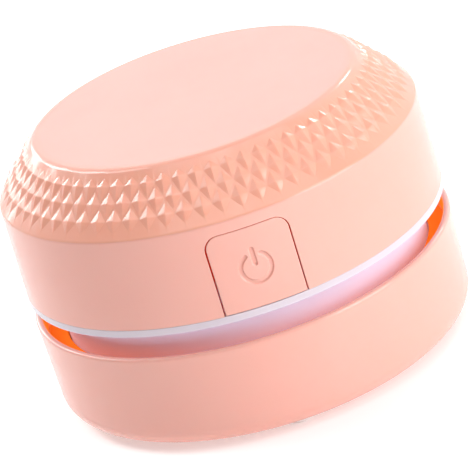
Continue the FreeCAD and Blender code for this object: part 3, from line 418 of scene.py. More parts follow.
def boardMaterial(look):
    material, tree, shader = newMaterial("circuitBoard")
    cells = addNode(tree, "TexBrick", {
        "Vector": objectPlace(tree), "Scale": look["cellsPerMetre"],
        "Color1": look["mask"], "Color2": look["track"], "Mortar": look["track"],
    })
    setUp(tree, shader, {"Base Color": cells.outputs["Color"], "Roughness": 0.28})
    addBump(tree, shader, cells.outputs["Fac"], 0.3, 0.03)
    return material


# The socket's tongue: gilded contact stripes in a black moulding, between two depths of the socket.
contactLook = {"gold": (0.83, 0.58, 0.22), "stripesPerMetre": 2000, "front": 40.6, "back": 36.4}


def contactMaterial(look):
    material = mouldedMaterial("contactTongue", mouldedLooks["blackPlastic"])
    tree, shader = shaderOf(material)
    depth = addNode(tree, "SeparateXYZ", {"Vector": objectPlace(tree)}).outputs["Y"]
    middle, reach = (look["front"] + look["back"]) / 2, (look["front"] - look["back"]) / 2
    stripes = calculated(tree, "GREATER_THAN", objectWaves(tree, "X", look["stripesPerMetre"]), 0.5)
    within = calculated(tree, "COMPARE", depth, middle * mm, reach * mm)
    gilded = calculated(tree, "MULTIPLY", stripes, within)
    addTint(tree, shader, gilded, look["gold"])
    setUp(tree, shader, {"Metallic": gilded})
    return material


finishes["circuitBoard"] = boardMaterial(boardLook)
finishes["contactTongue"] = contactMaterial(contactLook)

# Painted light and shade on translucent plastic: where light would go through it or bounce between
# its walls, each finish blends from a plain one to a painted deeper tint, with a painted glow
# (emission on plastic that is no lamp) and another shine. With "above" the blend runs between two
# distances from the upright axis and keeps off lower levels. Without it, it runs between two levels.
levelFade = 2.0
paintedLightLooks = {
    # Cup: a painted orange glow on the inner wall below the lip, for light through the plastic.
    "salmonCupPaintedGlow": {"tint": (0.97, 0.23, 0.02), "start": 41.85, "end": 41.45, "above": 16.5, "paintedGlow": 0.42},
    # Lock collar: a painted orange glow, for light through the cup's wall.
    "salmonCollarPaintedGlow": {"tint": (0.97, 0.22, 0.02), "start": 42.40, "end": 41.45, "above": 13.0, "paintedGlow": 0.24},
    # Grip cap: the knurled band painted a deeper, more saturated salmon than the flat top, a painted shade
    # for how light falls on it; its frost is a bump.
    "salmonCapPaintedShade": {"tint": (0.885, 0.412, 0.302), "start": 30.5, "end": 34.0, "above": 9.0, "shine": 0.5,
                  "frost": 0.25, "frostScale": 3000, "frostDepth": 0.015},
    # Barrel and button: the walls inside the outer skin, round the notch, button edges and flange, painted a
    # dark red shade with a faint painted glow.
    "salmonBarrelPaintedShade": {"tint": (0.60, 0.03, 0.01), "start": 42.30, "end": 42.05, "above": 9.0, "paintedGlow": 0.22,
                     "shine": 0.1},
    # Fan housing: the skirt below the ring painted lavender with a faint painted glow, for light bounced into
    # the gap.
    "whiteWallPaintedGlow": {"plain": "whitePlastic", "tint": (0.72, 0.68, 0.86), "start": 26.5, "end": 25.6,
                  "paintedGlow": 0.10},
}


def paintedLightMaterial(name, look):
    look = {"plain": "salmonPlastic", "shine": 0.0, **look}
    material = mouldedMaterial(name, mouldedLooks[look["plain"]])
    tree, shader = shaderOf(material)
    place = objectPlace(tree)
    level = addNode(tree, "SeparateXYZ", {"Vector": place}).outputs["Z"]
    start, end = look["start"] * mm, look["end"] * mm
    if "above" in look:
        flat = addNode(tree, "VectorMath", {"operation": "MULTIPLY", 0: place, 1: (1, 1, 0)})
        distance = addNode(tree, "VectorMath", {"operation": "LENGTH", 0: flat.outputs["Vector"]})
        above = mapped(tree, level, look["above"] * mm, (look["above"] + levelFade) * mm)
        amount = calculated(tree, "MULTIPLY", mapped(tree, distance.outputs["Value"], start, end), above)
    else:
        amount = mapped(tree, level, start, end)
    # Painted light and shade: the deeper tint is a painted glow colour on the cup, collar and skirt, and a
    # painted deeper shade on the cap's band and on the barrel's and button's inner walls.
    addTint(tree, shader, amount, look["tint"])
    setUp(tree, shader, {"Specular IOR Level": mapped(tree, amount, 0, 1, 0.5, look["shine"])})
    if "frost" in look:  # a fine texture that sparkles in the glossy light
        skin = shader.inputs["Normal"].links[0].from_socket
        strength = calculated(tree, "MULTIPLY", amount, look["frost"])
        frost = addBump(tree, shader, objectNoise(tree, look["frostScale"], 1), strength, look["frostDepth"])
        setUp(tree, frost, {"Normal": skin})
    # Painted glow: emission on plastic that is no lamp, standing in for light through its walls.
    if "paintedGlow" in look:
        paintedGlow = calculated(tree, "MULTIPLY", amount, look["paintedGlow"])
        setUp(tree, shader, {"Emission Strength": paintedGlow, "Emission Color": (*look["tint"], 1)})
    return material


addFinishes(paintedLightMaterial, paintedLightLooks)
print("stage: materials made")

# Grip cap: one moulding with its raised diamonds.

capLook = {
    "flatRadius": 32.6,  # flat top, before its edge is rounded
    "edgeRounding": 1.9,
    "wall": 1.8,
    "plugWall": 1.5,
    "plugGap": 1.85,  # plug rim inside the outer edge of the seam
    "plugRounding": 0.2,
    "diamondsRound": 70,
    "firstDiamond": 1.6,  # degrees from the front
    "diamondHeight": 0.50,
    "ridgeSoftness": 0.08,
    "rows": ((0.124, 0.239, 0.466), (0.314, 0.481, 0.681), (0.548, 0.7225, 0.897)),  # tip, waist, foot
    "columnPlaces": (0, 0.06, 0.25, 0.5, 0.75, 0.94),
    "upperPlaces": (0, 0.5, 0.93, 1),  # lines of the grid from a row's tips to its waist
    "lowerPlaces": (0.07, 0.5, 1),  # and from there to its feet
}

shoulderRounding = 1.2
bandLean = math.atan2(seamRadius - capLook["flatRadius"], capTop - seamLevel)
shoulderStart = seamLevel - shoulderRounding * math.tan(bandLean / 2)


# The shoulder between the cap's band and the barrel is one arc, and the seam runs across it.
# This is how far the arc lies inside the barrel's own line.
def shoulderInset(level):
    above = np.clip(level - shoulderStart, 0, shoulderRounding)
    return shoulderRounding - np.sqrt(shoulderRounding ** 2 - above ** 2)


# The absolute value, with its sharp bottom replaced by a short parabola.
def softened(value, softness):
    size = np.abs(value)
    return np.where(size < softness, size ** 2 / (2 * softness) + softness / 2, size)


# The band between the flat top and the seam is a grid whose rows follow the edges of the diamonds.
# The share a runs from 0 on the ridges of the outer rows to 1 on the ridges of the middle row.
# The share q runs down the band. A diamond's height is 1 - |across| - |along|, with soft ridges.
def makeGripCap(look):
    top = np.array([look["flatRadius"], capTop])
    foot = np.array([seamRadius, seamLevel])
    down = foot - top
    crown = roundedOutline([(0, capTop, 0), (*top, look["edgeRounding"]), (*foot, 0)], False, 8)[:-1]
    barrel = (seamRadius, ringTop, 0)
    shoulder = roundedOutline([(*top, 0), (*foot, shoulderRounding), barrel], False, 8)[1:]
    shoulder = shoulder[shoulder[:, 1] > seamLevel + 0.02]  # the part of the arc that is above the seam
    plug, under = seamRadius - look["plugGap"], capTop - look["wall"]
    inside = roundedOutline([
        (seamRadius - shoulderInset(seamLevel), seamLevel, 0),
        (plug, seamLevel, 0),
        (plug, plugBottom, look["plugRounding"]),
        (plug - look["plugWall"], plugBottom, look["plugRounding"]),
        (plug - look["plugWall"], seamLevel, 0),
        (look["flatRadius"] - look["wall"], under, 0),
        (0, under, 0),
    ], closed=False)

    steps = np.array(look["columnPlaces"])
    places = np.concatenate([steps / 2, 0.5 + (1 - np.append(steps[1:], 1)[::-1]) / 2])
    count = look["diamondsRound"]
    angles = (np.arange(count)[:, None] + places).ravel() * 2 * math.pi / count
    angles += math.radians(look["firstDiamond"])
    a = np.tile(1 - np.abs(1 - 2 * places), count)
    rows = [(1 - a if number == 1 else a, *row) for number, row in enumerate(look["rows"])]
    lines = []
    for across, tip, waist, end in rows:
        upper = tip + (waist - tip) * across
        lower = end - (end - waist) * across
        lines += [upper + (waist - upper) * share for share in look["upperPlaces"]]
        lines += [waist + (lower - waist) * share for share in look["lowerPlaces"]]
    q = np.array(lines)
    raised = np.zeros_like(q)
    for across, tip, waist, end in rows:
        along = (q - waist) / np.where(q < waist, tip - waist, end - waist)
        height = 1 - softened(across, look["ridgeSoftness"]) - softened(along, look["ridgeSoftness"])
        raised = np.maximum(raised, look["diamondHeight"] * height)
    outward = unit(np.array([-down[1], down[0]]))
    band = polar(top[0] + down[0] * q + outward[0] * raised, angles,
                 top[1] + down[1] * q + outward[1] * raised)
    rest = aroundAxis(np.vstack([shoulder, inside]), angles)
    points = np.concatenate([aroundAxis(crown, angles), band, rest])
    # The knurled band carries a painted deeper shade.
    makePiece("gripCap", [(points, gridFaces(len(points), len(angles)))], "salmonCapPaintedShade", "upper_unit",
              ["grip_cap"], crease=15)


makeGripCap(capLook)
print("stage: grip cap made")

# Upper housing: a barrel with a notch for the button and a mouth for the socket.

barrelLook = {
    "wall": 1.8,
    "edge": 0.06,
    "columns": 180,
    "levels": (27.6, 30.3, 33.0, 34.5, 35.8, 36.9, 38.45, 40.0, 41.1, 42.4, 43.9, 45.2, 45.6, 45.85, 46.05),
    "notchHalf": 8.3,
    "notchTop": 43.7,
    "notchCorner": 2.9,
    "notchFrame": 7,  # columns of the frame on each side of the middle
    "notchRows": 11,  # rows of the grid that the notch's frame takes out
    "mouthHalf": 4.85,
    "mouthLevels": (36.45, 40.45),
    "mouthCorner": 1.55,
    "mouthFrame": 5,
    "mouthRows": (3, 9),
    "patchShares": (0, 0.06, 0.2, 0.5, 1),
}


def barrelRadius(level):
    taper = (seamRadius - bodyRadius) * (level - ringTop) / (seamLevel - ringTop)
    return bodyRadius + taper - shoulderInset(level)


def onBarrel(angle, level, depth=0):
    return polar(barrelRadius(level) - depth, angle, level)


# An arc between two directions, given in degrees from +X towards +Z.
def arcPoints(across, level, radius, start, end, count):
    angle = np.radians(np.linspace(start, end, count))
    return rowsOf(across + radius * np.cos(angle), level + radius * np.sin(angle))


# A patch of the barrel blends, in angle and level, from an opening's outline to the straight edge
# of its frame. The outline is given flat, as (across, level), and is wrapped about an angle.
def patchArea(outline, frame, about, shares, closed):
    wrapped = rowsOf(about + np.arcsin(outline[:, 0] / barrelRadius(outline[:, 1])), outline[:, 1])
    patch = wrapped + (frame + (about, 0) - wrapped) * np.array(shares)[:, None, None]
    return patch[..., 0], patch[..., 1], gridFaces(len(shares), len(outline), False, closed)


# Areas of (angles, levels, faces) on the barrel get an inner surface, straight inwards from the outer
# one, and walls between the two along every edge that belongs to one face alone.
def wallShell(areas, wall):
    angle = np.concatenate([area[0].ravel() for area in areas])
    level = np.concatenate([area[1].ravel() for area in areas])
    starts = np.cumsum([0] + [area[0].size for area in areas[:-1]])
    faces = np.vstack([area[2].reshape(-1, 4) + start for area, start in zip(areas, starts)])
    outer = onBarrel(angle, level)
    spot = np.unique(np.round(outer / mm), axis=0, return_inverse=True)[1].ravel()
    sides = np.stack([faces, np.roll(faces, -1, axis=1)], axis=2).reshape(-1, 2)
    _, first, uses = np.unique(np.sort(spot[sides], axis=1), axis=0, return_index=True, return_counts=True)
    rim = sides[first[uses == 1]]
    count = len(outer)
    points = np.vstack([outer, onBarrel(angle, level, wall)])
    return points, np.vstack([faces, faces + count, np.hstack([rim, rim[:, ::-1] + count])])


# The barrel is a grid of columns and levels with a frame left out of it round each opening. An
# opening's outline has as many points as its frame.
def makeUpperHousing(look):
    levels = np.array(look["levels"])
    step, middle = 2 * math.pi / look["columns"], look["columns"] // 2
    angles = (np.arange(look["columns"]) - middle) * step
    faces = gridFaces(len(levels), look["columns"])
    opened = np.zeros(faces.shape[:2], bool)
    reach, top = look["notchFrame"], look["notchRows"]
    opened[:top, middle - reach:middle + reach] = True
    half, high, corner = look["notchHalf"], look["notchTop"], look["notchCorner"]
    inset, spring = half - corner, high - corner
    notch = joined(
        np.linspace((-half, levels[0]), (-half, spring), 9),
        arcPoints(-inset, spring, corner, 180, 90, 7),
        np.linspace((-inset, high), (inset, high), 9),
        arcPoints(inset, spring, corner, 90, 0, 7),
        np.linspace((half, spring), (half, levels[0]), 9),
    )
    turn = np.arange(-reach, reach + 1) * step
    frame = frameOutline(turn, levels[:top + 1], closed=False)
    areas = [patchArea(notch, frame, 0, look["patchShares"], False)]

    reach, (first, last) = look["mouthFrame"], look["mouthRows"]
    opened[first:last, :reach] = True
    opened[first:last, -reach:] = True
    half, (low, high), corner = look["mouthHalf"], look["mouthLevels"], look["mouthCorner"]
    inset, base, spring = half - corner, low + corner, high - corner
    mouth = joined(
        arcPoints(inset, base, corner, -45, 0, 3),
        np.linspace((half, base), (half, spring), 3),
        arcPoints(inset, spring, corner, 0, 90, 5),
        np.linspace((inset, high), (-inset, high), 7),
        arcPoints(-inset, spring, corner, 90, 180, 5),
        np.linspace((-half, spring), (-half, base), 3),
        arcPoints(-inset, base, corner, 180, 270, 5),
        np.linspace((-inset, low), (inset, low), 7),
        arcPoints(inset, base, corner, 270, 315, 3),
    )[:-1]
    frame = frameOutline(np.arange(reach, -reach - 1, -1) * step, levels[first:last + 1])
    areas.append(patchArea(mouth, frame, math.pi, look["patchShares"], True))
    areas.append((*np.meshgrid(angles, levels), faces[~opened]))
    # Its inner walls carry a painted dark red shade and a faint painted glow.
    makePiece("upperHousing", [wallShell(areas, look["wall"])], "salmonBarrelPaintedShade", "upper_unit",
              ["upper_housing"], edge=look["edge"])


makeUpperHousing(barrelLook)
print("stage: upper housing made")

# Power button with its engraved sign.

buttonLook = {
    "half": 8.02,
    "corner": 2.7,
    "lowCorner": 0.35,
    "aside": 0.04,  # the face sits a little to the right in its notch
    "lowReach": 0.1,  # the face reaches a little lower than its solid
    "edge": 0.14,
    "wall": 1.5,
    "spacing": 0.12,
    "edgeSteps": (0, 0.02, 0.05, 0.09, 0.14, 0.20),
    "signLevel": 35.5,
    "signRadius": 2.92,
    "signStroke": 0.76,
    "signGap": 30.5,  # half of the gap at the top, in degrees
    "barWidth": 0.90,
    "barLevels": (35.9, 39.6),
    "signDepth": 0.36,
    "signSoftness": 0.13,
    "flangeHalf": 9.5,
    "flangeRadii": (39.1, 40.3),
    "flangeLevels": (33.8, 42.2),
    "flangeRounding": 0.2,
    "stemRadius": 1.7,
    "stemLevel": 38.6,
    "stemEnds": (37.25, 39.7),
}
faceBottom = buttonBottom - buttonLook["lowReach"]


def smoothStep(value):
    value = np.clip(value, 0, 1)
    return value * value * (3 - 2 * value)


# Distance inside a rectangle with two sizes of rounded corners; 0 on its outline.
def distanceInside(across, level, look):
    middle, halfHeight = (faceBottom + buttonTop) / 2, (buttonTop - faceBottom) / 2
    corner = np.where(level > middle, look["corner"], look["lowCorner"])
    sideways = np.abs(across) - look["half"] + corner
    upwards = np.abs(level - middle) - halfHeight + corner
    outside = np.hypot(np.maximum(sideways, 0), np.maximum(upwards, 0))
    return corner - outside - np.minimum(np.maximum(sideways, upwards), 0)


# Depth of the sign: an open ring and a bar, each a stroke with round ends and soft sides.
def signDepth(across, level, look):
    up = level - look["signLevel"]
    angle = np.abs(np.arctan2(across, up))
    gap = math.radians(look["signGap"])
    radius = look["signRadius"]
    ringEnd = np.hypot(np.abs(across) - radius * math.sin(gap), up - radius * math.cos(gap))
    ring = np.where(angle > gap, np.abs(np.hypot(across, up) - radius), ringEnd)
    low, high = look["barLevels"]
    inset = look["barWidth"] / 2
    bar = np.hypot(across, level - np.clip(level, low + inset, high - inset))
    ringShare = smoothStep((look["signStroke"] / 2 - ring) / look["signSoftness"] + 0.5)
    barShare = smoothStep((inset - bar) / look["signSoftness"] + 0.5)
    return look["signDepth"] * np.maximum(ringShare, barShare)


# Places from -1 to 1, close together at both ends so that the rounded edge is smooth.
def edgedPlaces(length, look):
    fine = np.array(look["edgeSteps"]) / length * 2
    plain = np.linspace(fine[-1] - 1, 1 - fine[-1], int(length / look["spacing"]))
    return np.concatenate([fine - 1, plain[1:-1], (1 - fine)[::-1]])


# The face is a grid over the button's outline. Its depth behind the barrel's surface is a quarter
# circle near the edge, plus the engraved sign. A flange and a stem hold it from behind.
def makePowerButton(look):
    places = edgedPlaces(buttonTop - buttonBottom, look)[:, None]
    level = faceBottom + (buttonTop - faceBottom) * (places + 1) / 2
    corner, edge = look["corner"], look["edge"]
    intoCorner = np.clip(level - (buttonTop - corner), 0, corner)
    narrow = corner - np.sqrt(corner ** 2 - intoCorner ** 2)
    across = edgedPlaces(2 * look["half"], look) * (look["half"] - narrow)
    inside = np.clip(distanceInside(across, level, look), 0, edge)
    rolled = edge - np.sqrt(edge ** 2 - (edge - inside) ** 2)
    angle = np.arcsin((across + look["aside"]) / barrelRadius(level))
    face = onBarrel(angle, level, rolled + signDepth(across, level, look))
    makePiece("powerButton", [(face, gridFaces(*face.shape[:2], False, False))], "salmonBarrelPaintedShade", "button",
              ["power_button"], wall=look["wall"], crease=60)

    (inner, outer), (low, high) = look["flangeRadii"], look["flangeLevels"]
    reach = math.asin(look["flangeHalf"] / outer)
    rounding = look["flangeRounding"]
    outline = roundedOutline([(inner, low, rounding), (outer, low, rounding), (outer, high, rounding),
                              (inner, high, rounding)], steps=2)
    plate = aroundAxis(outline, np.linspace(-reach, reach, 25))
    ends = [np.broadcast_to(plate[:, side].mean(axis=0), (len(outline), 1, 3)) for side in (0, -1)]
    plate = np.concatenate([ends[0], plate, ends[1]], axis=1)
    back, front = look["stemEnds"]
    radius = look["stemRadius"]
    corners = [(0, 0, 0), (radius, 0, rounding), (radius, 1, 0), (0, 1, 0)]
    stem, stemFaces = turnedShell(corners, smallTurn, closed=False, steps=2)
    lying = rowsOf(stem[..., 0], -back - (front - back) * stem[..., 2], stem[..., 1] + look["stemLevel"])
    shells = [(plate, gridFaces(*plate.shape[:2], True, False)), (lying, stemFaces)]
    makePiece("buttonFlange", shells, "salmonBarrelPaintedShade", "button")


makePowerButton(buttonLook)
print("stage: power button made")

# Fan housing: white ring with exhaust slots, skirt, web, columns and lock pins.

fanHousingLook = {
    "ringHeight": 1.5,
    "ringEdge": 0.12,
    "skirtRadii": (37.2, 37.9),
    "skirtWall": 1.5,
    "skirtEdges": (0.2, 0.3),  # inner and outer rounding
    "skirtOverlap": 0.2,  # how far it reaches into the ring
    "taperStart": 17.8,
    "slotCount": 32,
    "slotRadii": (38.5, 40.5),
    "slotAngle": 6.68,
    "webLevels": (23.9, 25.3),
    "webSplit": 20.0,  # between the web's outer and inner parts
    "eyeRadius": 13.0,
    "eyeRounding": 0.5,
    "columnCircle": 32.0,
    "columnRadius": 3.3,
    "columnEdge": 0.2,
    "columnAngles": (-90, 30, 150),
    "headRecess": 2.25,
    "headSeat": 26.9,
    "screwHole": 1.3,
    "windowHalf": 3.7,  # half the radial reach of the window round a column
    "windowReach": 7,  # and half its width, in degrees
    "windowRows": 8,
    "pinAngles": (90, 210, 330),
    "pinRadius": 1.2,
    "pinLevel": 14.05,
    "pinEnds": (36.4, 39.2),
    "pinEdge": 0.3,
}


# The web is a flat ring round the impeller's eye. Windows are left out of it for the columns, and each
# column is a stack of loops from the lower window to the upper one: the head's recess, the screw's hole
# and the column's outside.
def webShells(look, outer):
    columns = 360  # of the grid, one a degree
    low, high = look["webLevels"]
    eye, rounding, split = look["eyeRadius"], look["eyeRounding"], look["webSplit"]
    inner, count = look["columnCircle"] - look["windowHalf"], look["windowRows"]
    span = np.linspace(inner, inner + 2 * look["windowHalf"], count + 1)
    radii = np.concatenate([[split], span, [outer]])
    rim = roundedOutline([
        (split, high, 0), (eye, high, rounding), (eye, low, rounding), (split, low, 0),
    ], closed=False)[1:-1]
    profile = np.vstack([rowsOf(radii, low), rowsOf(radii[::-1], high), rim])
    faces = gridFaces(len(profile), columns, True)
    opened = np.zeros(faces.shape[:2], bool)
    reach = look["windowReach"]
    lowerRows = np.arange(1, count + 1)
    upperRows = 2 * len(radii) - 2 - lowerRows
    for angle in look["columnAngles"]:
        cells = (np.arange(-reach, reach) + angle) % columns
        opened[np.concatenate([lowerRows, upperRows])[:, None], cells] = True
    shells = [(aroundAxis(profile, roundAngles(columns)), faces[~opened])]

    window = frameOutline(np.radians(np.arange(-reach, reach + 1)), span)
    recess, seat, hole = look["headRecess"], look["headSeat"], look["screwHole"]
    width, edge = look["columnRadius"], look["columnEdge"]
    loops = ((recess, low), (recess, seat), (hole, seat), (hole, deckLevel),
             (width - edge, deckLevel), (width, deckLevel - edge), (width, high))
    up = np.array([0, 0, 1])
    for angle in degrees(*look["columnAngles"]):
        spots = polar(window[:, 1], window[:, 0] + angle, low)
        centre = polar(look["columnCircle"], angle, low)
        rows = [centre + unit(spots - centre) * radius + up * (level - low) for radius, level in loops]
        rows = np.stack([spots, *rows, spots + up * (high - low)])
        shells.append((rows, gridFaces(len(rows), len(spots))))
    return shells


# The ring's profile runs along its lower side, round its edge and back along its upper side. The cells
# of the slots, in the second row from either end, are left out, and walls join their outlines.
def makeFanHousing(look):
    ringLow = ringTop - look["ringHeight"]
    outerLow, outerHigh = look["skirtRadii"]
    wall = look["skirtWall"]
    slotIn, slotOut = look["slotRadii"]
    edge = roundedOutline([
        (slotOut, ringLow, 0), (bodyRadius, ringLow, look["ringEdge"]),
        (bodyRadius, ringTop, look["ringEdge"]), (slotOut, ringTop, 0),
    ], closed=False)
    flat = np.array([outerHigh - wall, slotIn])
    profile = np.vstack([rowsOf(flat, ringLow), edge, rowsOf(flat[::-1], ringTop)])
    pitch = 2 * math.pi / look["slotCount"]
    half = math.radians(look["slotAngle"]) / 2
    places = np.array([-half, -half / 2, 0, half / 2, half, pitch / 2])
    points = aroundAxis(profile, (np.arange(look["slotCount"])[:, None] * pitch + places).ravel())
    rows, columns = points.shape[:2]
    faces = gridFaces(rows, columns, True)
    slot = np.arange(columns).reshape(-1, len(places))[:, :-1]  # the columns on a slot's five lines
    opened = np.zeros(faces.shape[:2], bool)
    opened[1, slot[:, :-1]] = opened[rows - 3, slot[:, :-1]] = True
    row = np.repeat([1, 2], slot.shape[1])
    loop = np.hstack([slot, slot[:, ::-1]])
    low, high = row * columns + loop, (rows - 1 - row) * columns + loop
    walls = rowsOf(low, np.roll(low, -1, 1), np.roll(high, -1, 1), high).reshape(-1, 4)
    shells = [(points, np.vstack([faces[~opened], walls]))]
    (innerEdge, outerEdge), skirtTop = look["skirtEdges"], ringLow + look["skirtOverlap"]
    shells.append(turnedShell([
        (outerLow - wall, skirtBottom, innerEdge),
        (outerLow, skirtBottom, outerEdge),
        (outerLow, look["taperStart"], 0),
        (outerHigh, skirtTop, 0),
        (outerHigh - wall, skirtTop, 0),
        (outerLow - wall, look["taperStart"], 0),
    ]))
    shells += webShells(look, outerLow - wall / 2)
    (near, far), radius = look["pinEnds"], look["pinRadius"]
    corners = [(0, near, 0), (radius, near, 0), (radius, far, look["pinEdge"]), (0, far, 0)]
    pin, pinFaces = turnedShell(corners, smallTurn, closed=False, steps=3)
    for angle in degrees(*look["pinAngles"]):
        across = pin[..., :1] * np.array([math.cos(angle), math.sin(angle), 0])
        shells.append((polar(pin[..., 2], angle, pin[..., 1] + look["pinLevel"]) + across, pinFaces))
    # The skirt below the ring carries a painted lavender glow.
    makePiece("fanHousing", shells, "whiteWallPaintedGlow", "upper_unit", ["fan_housing"])


makeFanHousing(fanHousingLook)
print("stage: fan housing made")

# Dust cup.

cupLook = {
    "footInset": 0.5,
    "footRounding": 4.0,
    "lipRounding": 0.7,
    "wall": 1.5,
    "recessRadius": 33.0,
    "recessDepth": 2.0,
    "floor": 1.6,
    "dustRadius": 39.8,
    "seatRadius": 41.0,
    "seatLevel": 9.2,
    "seatTop": 17.2,
    "tubeHole": 9.45,
    "recessEdge": 0.3,
    "seatEdge": 0.2,
    "floorRounding": 0.8,
    "bossAngles": (90, 210, 330),
    "bossCircle": 20.0,
    "bossRadii": (1.1, 2.8),
    "bossHeight": 4.2,
    "bossEdge": 0.3,
}


def makeDustCup(look):
    recessTop = cupBase + look["recessDepth"]
    floorTop = recessTop + look["floor"]
    shells = [turnedShell([
        (look["tubeHole"], recessTop, 0),
        (look["recessRadius"], recessTop, look["recessEdge"]),
        (look["recessRadius"], cupBase, look["recessEdge"]),
        (bodyRadius - look["footInset"], cupBase, look["footRounding"]),
        (bodyRadius, cupLip, look["lipRounding"]),
        (bodyRadius - look["wall"], cupLip, look["lipRounding"]),
        (look["seatRadius"], look["seatTop"], 0),
        (look["seatRadius"], look["seatLevel"], 0),
        (look["dustRadius"], look["seatLevel"], look["seatEdge"]),
        (look["dustRadius"], floorTop, look["floorRounding"]),
        (look["tubeHole"], floorTop, 0),
    ], columns=200, steps=8)]
    (inner, outer), high = look["bossRadii"], floorTop + look["bossHeight"]
    corners = [(inner, floorTop, 0), (outer, floorTop, 0), (outer, high, look["bossEdge"]), (inner, high, 0)]
    shells += copiesAround(*turnedShell(corners, smallTurn, steps=3), look["bossCircle"], look["bossAngles"])
    # The cup's inner wall carries a painted orange glow.
    makePiece("dustCup", shells, "salmonCupPaintedGlow", "base", ["dust_cup"], crease=50)


makeDustCup(cupLook)
print("stage: dust cup made")

# Brush: tufts of bristles in a ring round the inlet.

bristleSizes = {
    "tufts": 24,
    "circle": 28.0,
    "tuftRadius": 1.05,
    "perTuft": 37,
    "thickness": 0.10,  # radius of one bristle
    "sides": 6,
    "rootLevel": 2.6,
    "tipLevels": (0.10, 0.40),
    "lean": 0.32,
    "unevenness": 0.35,
    "shares": (0, 0, 0.5, 0.9, 1),  # places along a bristle
    "girths": (0, 1, 0.9, 0.55, 0),  # and its radius there, as a share of its thickness
    "seed": 7,
}


# The bristles of a tuft stand in a sunflower pattern and lean outwards with the square of the share
# of their length. Each one is a thin tapered spindle, closed to a point at both ends.
def makeBristles(look):
    random = np.random.default_rng(look["seed"])
    number = np.arange(look["perTuft"])
    turn = number * math.pi * (3 - math.sqrt(5))
    spread = look["tuftRadius"] * np.sqrt((number + 0.5) / look["perTuft"])
    foot = rowsOf(spread * np.cos(turn), spread * np.sin(turn))
    centre = polar(look["circle"], roundAngles(look["tufts"])[:, None], 0)[..., :2]
    place = (centre + foot).reshape(-1, 2)
    aside = np.tile(foot, (look["tufts"], 1)) / look["tuftRadius"]
    aside += random.uniform(-look["unevenness"], look["unevenness"], place.shape)
    tip = random.uniform(*look["tipLevels"], len(place))
    share, girth = np.array(look["shares"]), look["thickness"] * np.array(look["girths"])
    side = roundAngles(look["sides"])
    ring = girth[:, None, None] * rowsOf(np.cos(side), np.sin(side))
    flat = place[:, None, None] + aside[:, None, None] * (look["lean"] * share ** 2)[:, None, None] + ring
    level = look["rootLevel"] + (tip[:, None] - look["rootLevel"]) * share
    points = rowsOf(flat[..., 0], flat[..., 1], level[..., None])
    faces = gridFaces(len(share), look["sides"]).reshape(-1, 4)
    faces = faces + (np.arange(len(place)) * len(share) * look["sides"])[:, None, None]
    makePiece("bristles", [(points, faces)], "bristleNylon", "base", ["brush_tufts"], crease=80)


makeBristles(bristleSizes)

# Screws of the brush plate.

screwSizes = {
    "angles": (90, 210, 330),
    "circle": 20.0,
    "columns": 64,
    "headRadius": 2.15,
    "headEdge": 0.15,  # width of the head's edge, outside its flat face
    "headRounding": 0.12,
    "headLevels": (1.62, 2.4),
    "faceRings": 21,
    "shankRadius": 1.05,
    "tipLevel": 7.8,
    "tipHeight": 0.4,
    "threadPitch": 0.8,
    "threadDepth": 0.14,
    "recessHalf": 0.26,  # half the width of an arm of the cross
    "recessArm": 1.15,
    "recessDepth": 0.55,
    "recessSoftness": 0.14,
}


# A head with a cross recess: a round grid whose level rises inside the cross. The shank is a stack
# of rings that swell and shrink with the thread's pitch.
def makePlateScrews(look):
    low, high = look["headLevels"]
    radius, depth, soft = look["headRadius"], look["threadDepth"], look["recessSoftness"]
    face = rowsOf(np.linspace(0, radius - look["headEdge"], look["faceRings"]), low)
    edge = roundedOutline([(*face[-1], 0), (radius, low, look["headRounding"]), (radius, high, 0)], False, 3)
    threadLevels = np.arange(high, look["tipLevel"] - look["tipHeight"], look["threadPitch"] / 4)
    swell = np.tile((1, 0.5, 0, 0.5), len(threadLevels))[:len(threadLevels)] * depth
    shank = rowsOf(look["shankRadius"] - depth + swell, threadLevels)
    profile = np.vstack([face, edge[1:], shank, [(0, look["tipLevel"])]])
    points = aroundAxis(profile, roundAngles(look["columns"]))
    across, along = np.abs(points[:len(face), :, 0]), np.abs(points[:len(face), :, 1])
    inArm = smoothStep((look["recessHalf"] - np.minimum(across, along)) / soft + 0.5)
    inReach = smoothStep((look["recessArm"] - np.maximum(across, along)) / soft + 0.5)
    points[:len(face), :, 2] += look["recessDepth"] * inArm * inReach
    shells = copiesAround(points, gridFaces(len(profile), look["columns"]), look["circle"], look["angles"])
    makePiece("plateScrews", shells, "zincSteel", "base", ["plate_screws"])


makePlateScrews(screwSizes)

# Filter pad: folded felt.

padSizes = {
    "radius": 33.95,
    "levels": (18.55, 22.5),
    "folds": 22,
    "stepsPerFold": 6,
    "thickness": 1.2,
    "columns": 25,
}


# Fold lines run along X. Every line has a top row and a bottom row of points, whose level follows
# one triangle wave, and the first and last lines shrink to a point.
def makeFilterPad(look):
    low, high = look["levels"]
    lines = look["folds"] * look["stepsPerFold"] + 1
    along = np.linspace(-1, 1, lines)
    reach = np.sqrt(np.clip(1 - along ** 2, 0, None))
    wave = np.abs(np.arange(lines) / look["stepsPerFold"] % 1 * 2 - 1)
    upper = low + look["thickness"] + (high - low - look["thickness"]) * wave
    lower = np.where(reach < 1e-6, upper, upper - look["thickness"])
    share = np.linspace(-1, 1, look["columns"])
    across = look["radius"] * reach[:, None] * np.concatenate([share, share[::-1]])
    level = np.repeat(rowsOf(upper, lower), len(share), axis=1)
    points = rowsOf(across, look["radius"] * along[:, None], level)
    makePiece("filterPad", [(points, gridFaces(lines, 2 * len(share)))], "filterFelt", "filter_unit",
              ["filter_pad"], crease=60)


makeFilterPad(padSizes)
print("stage: brush, plate screws and filter pad made")

# Solid nodes that keep their shape, by their finish.

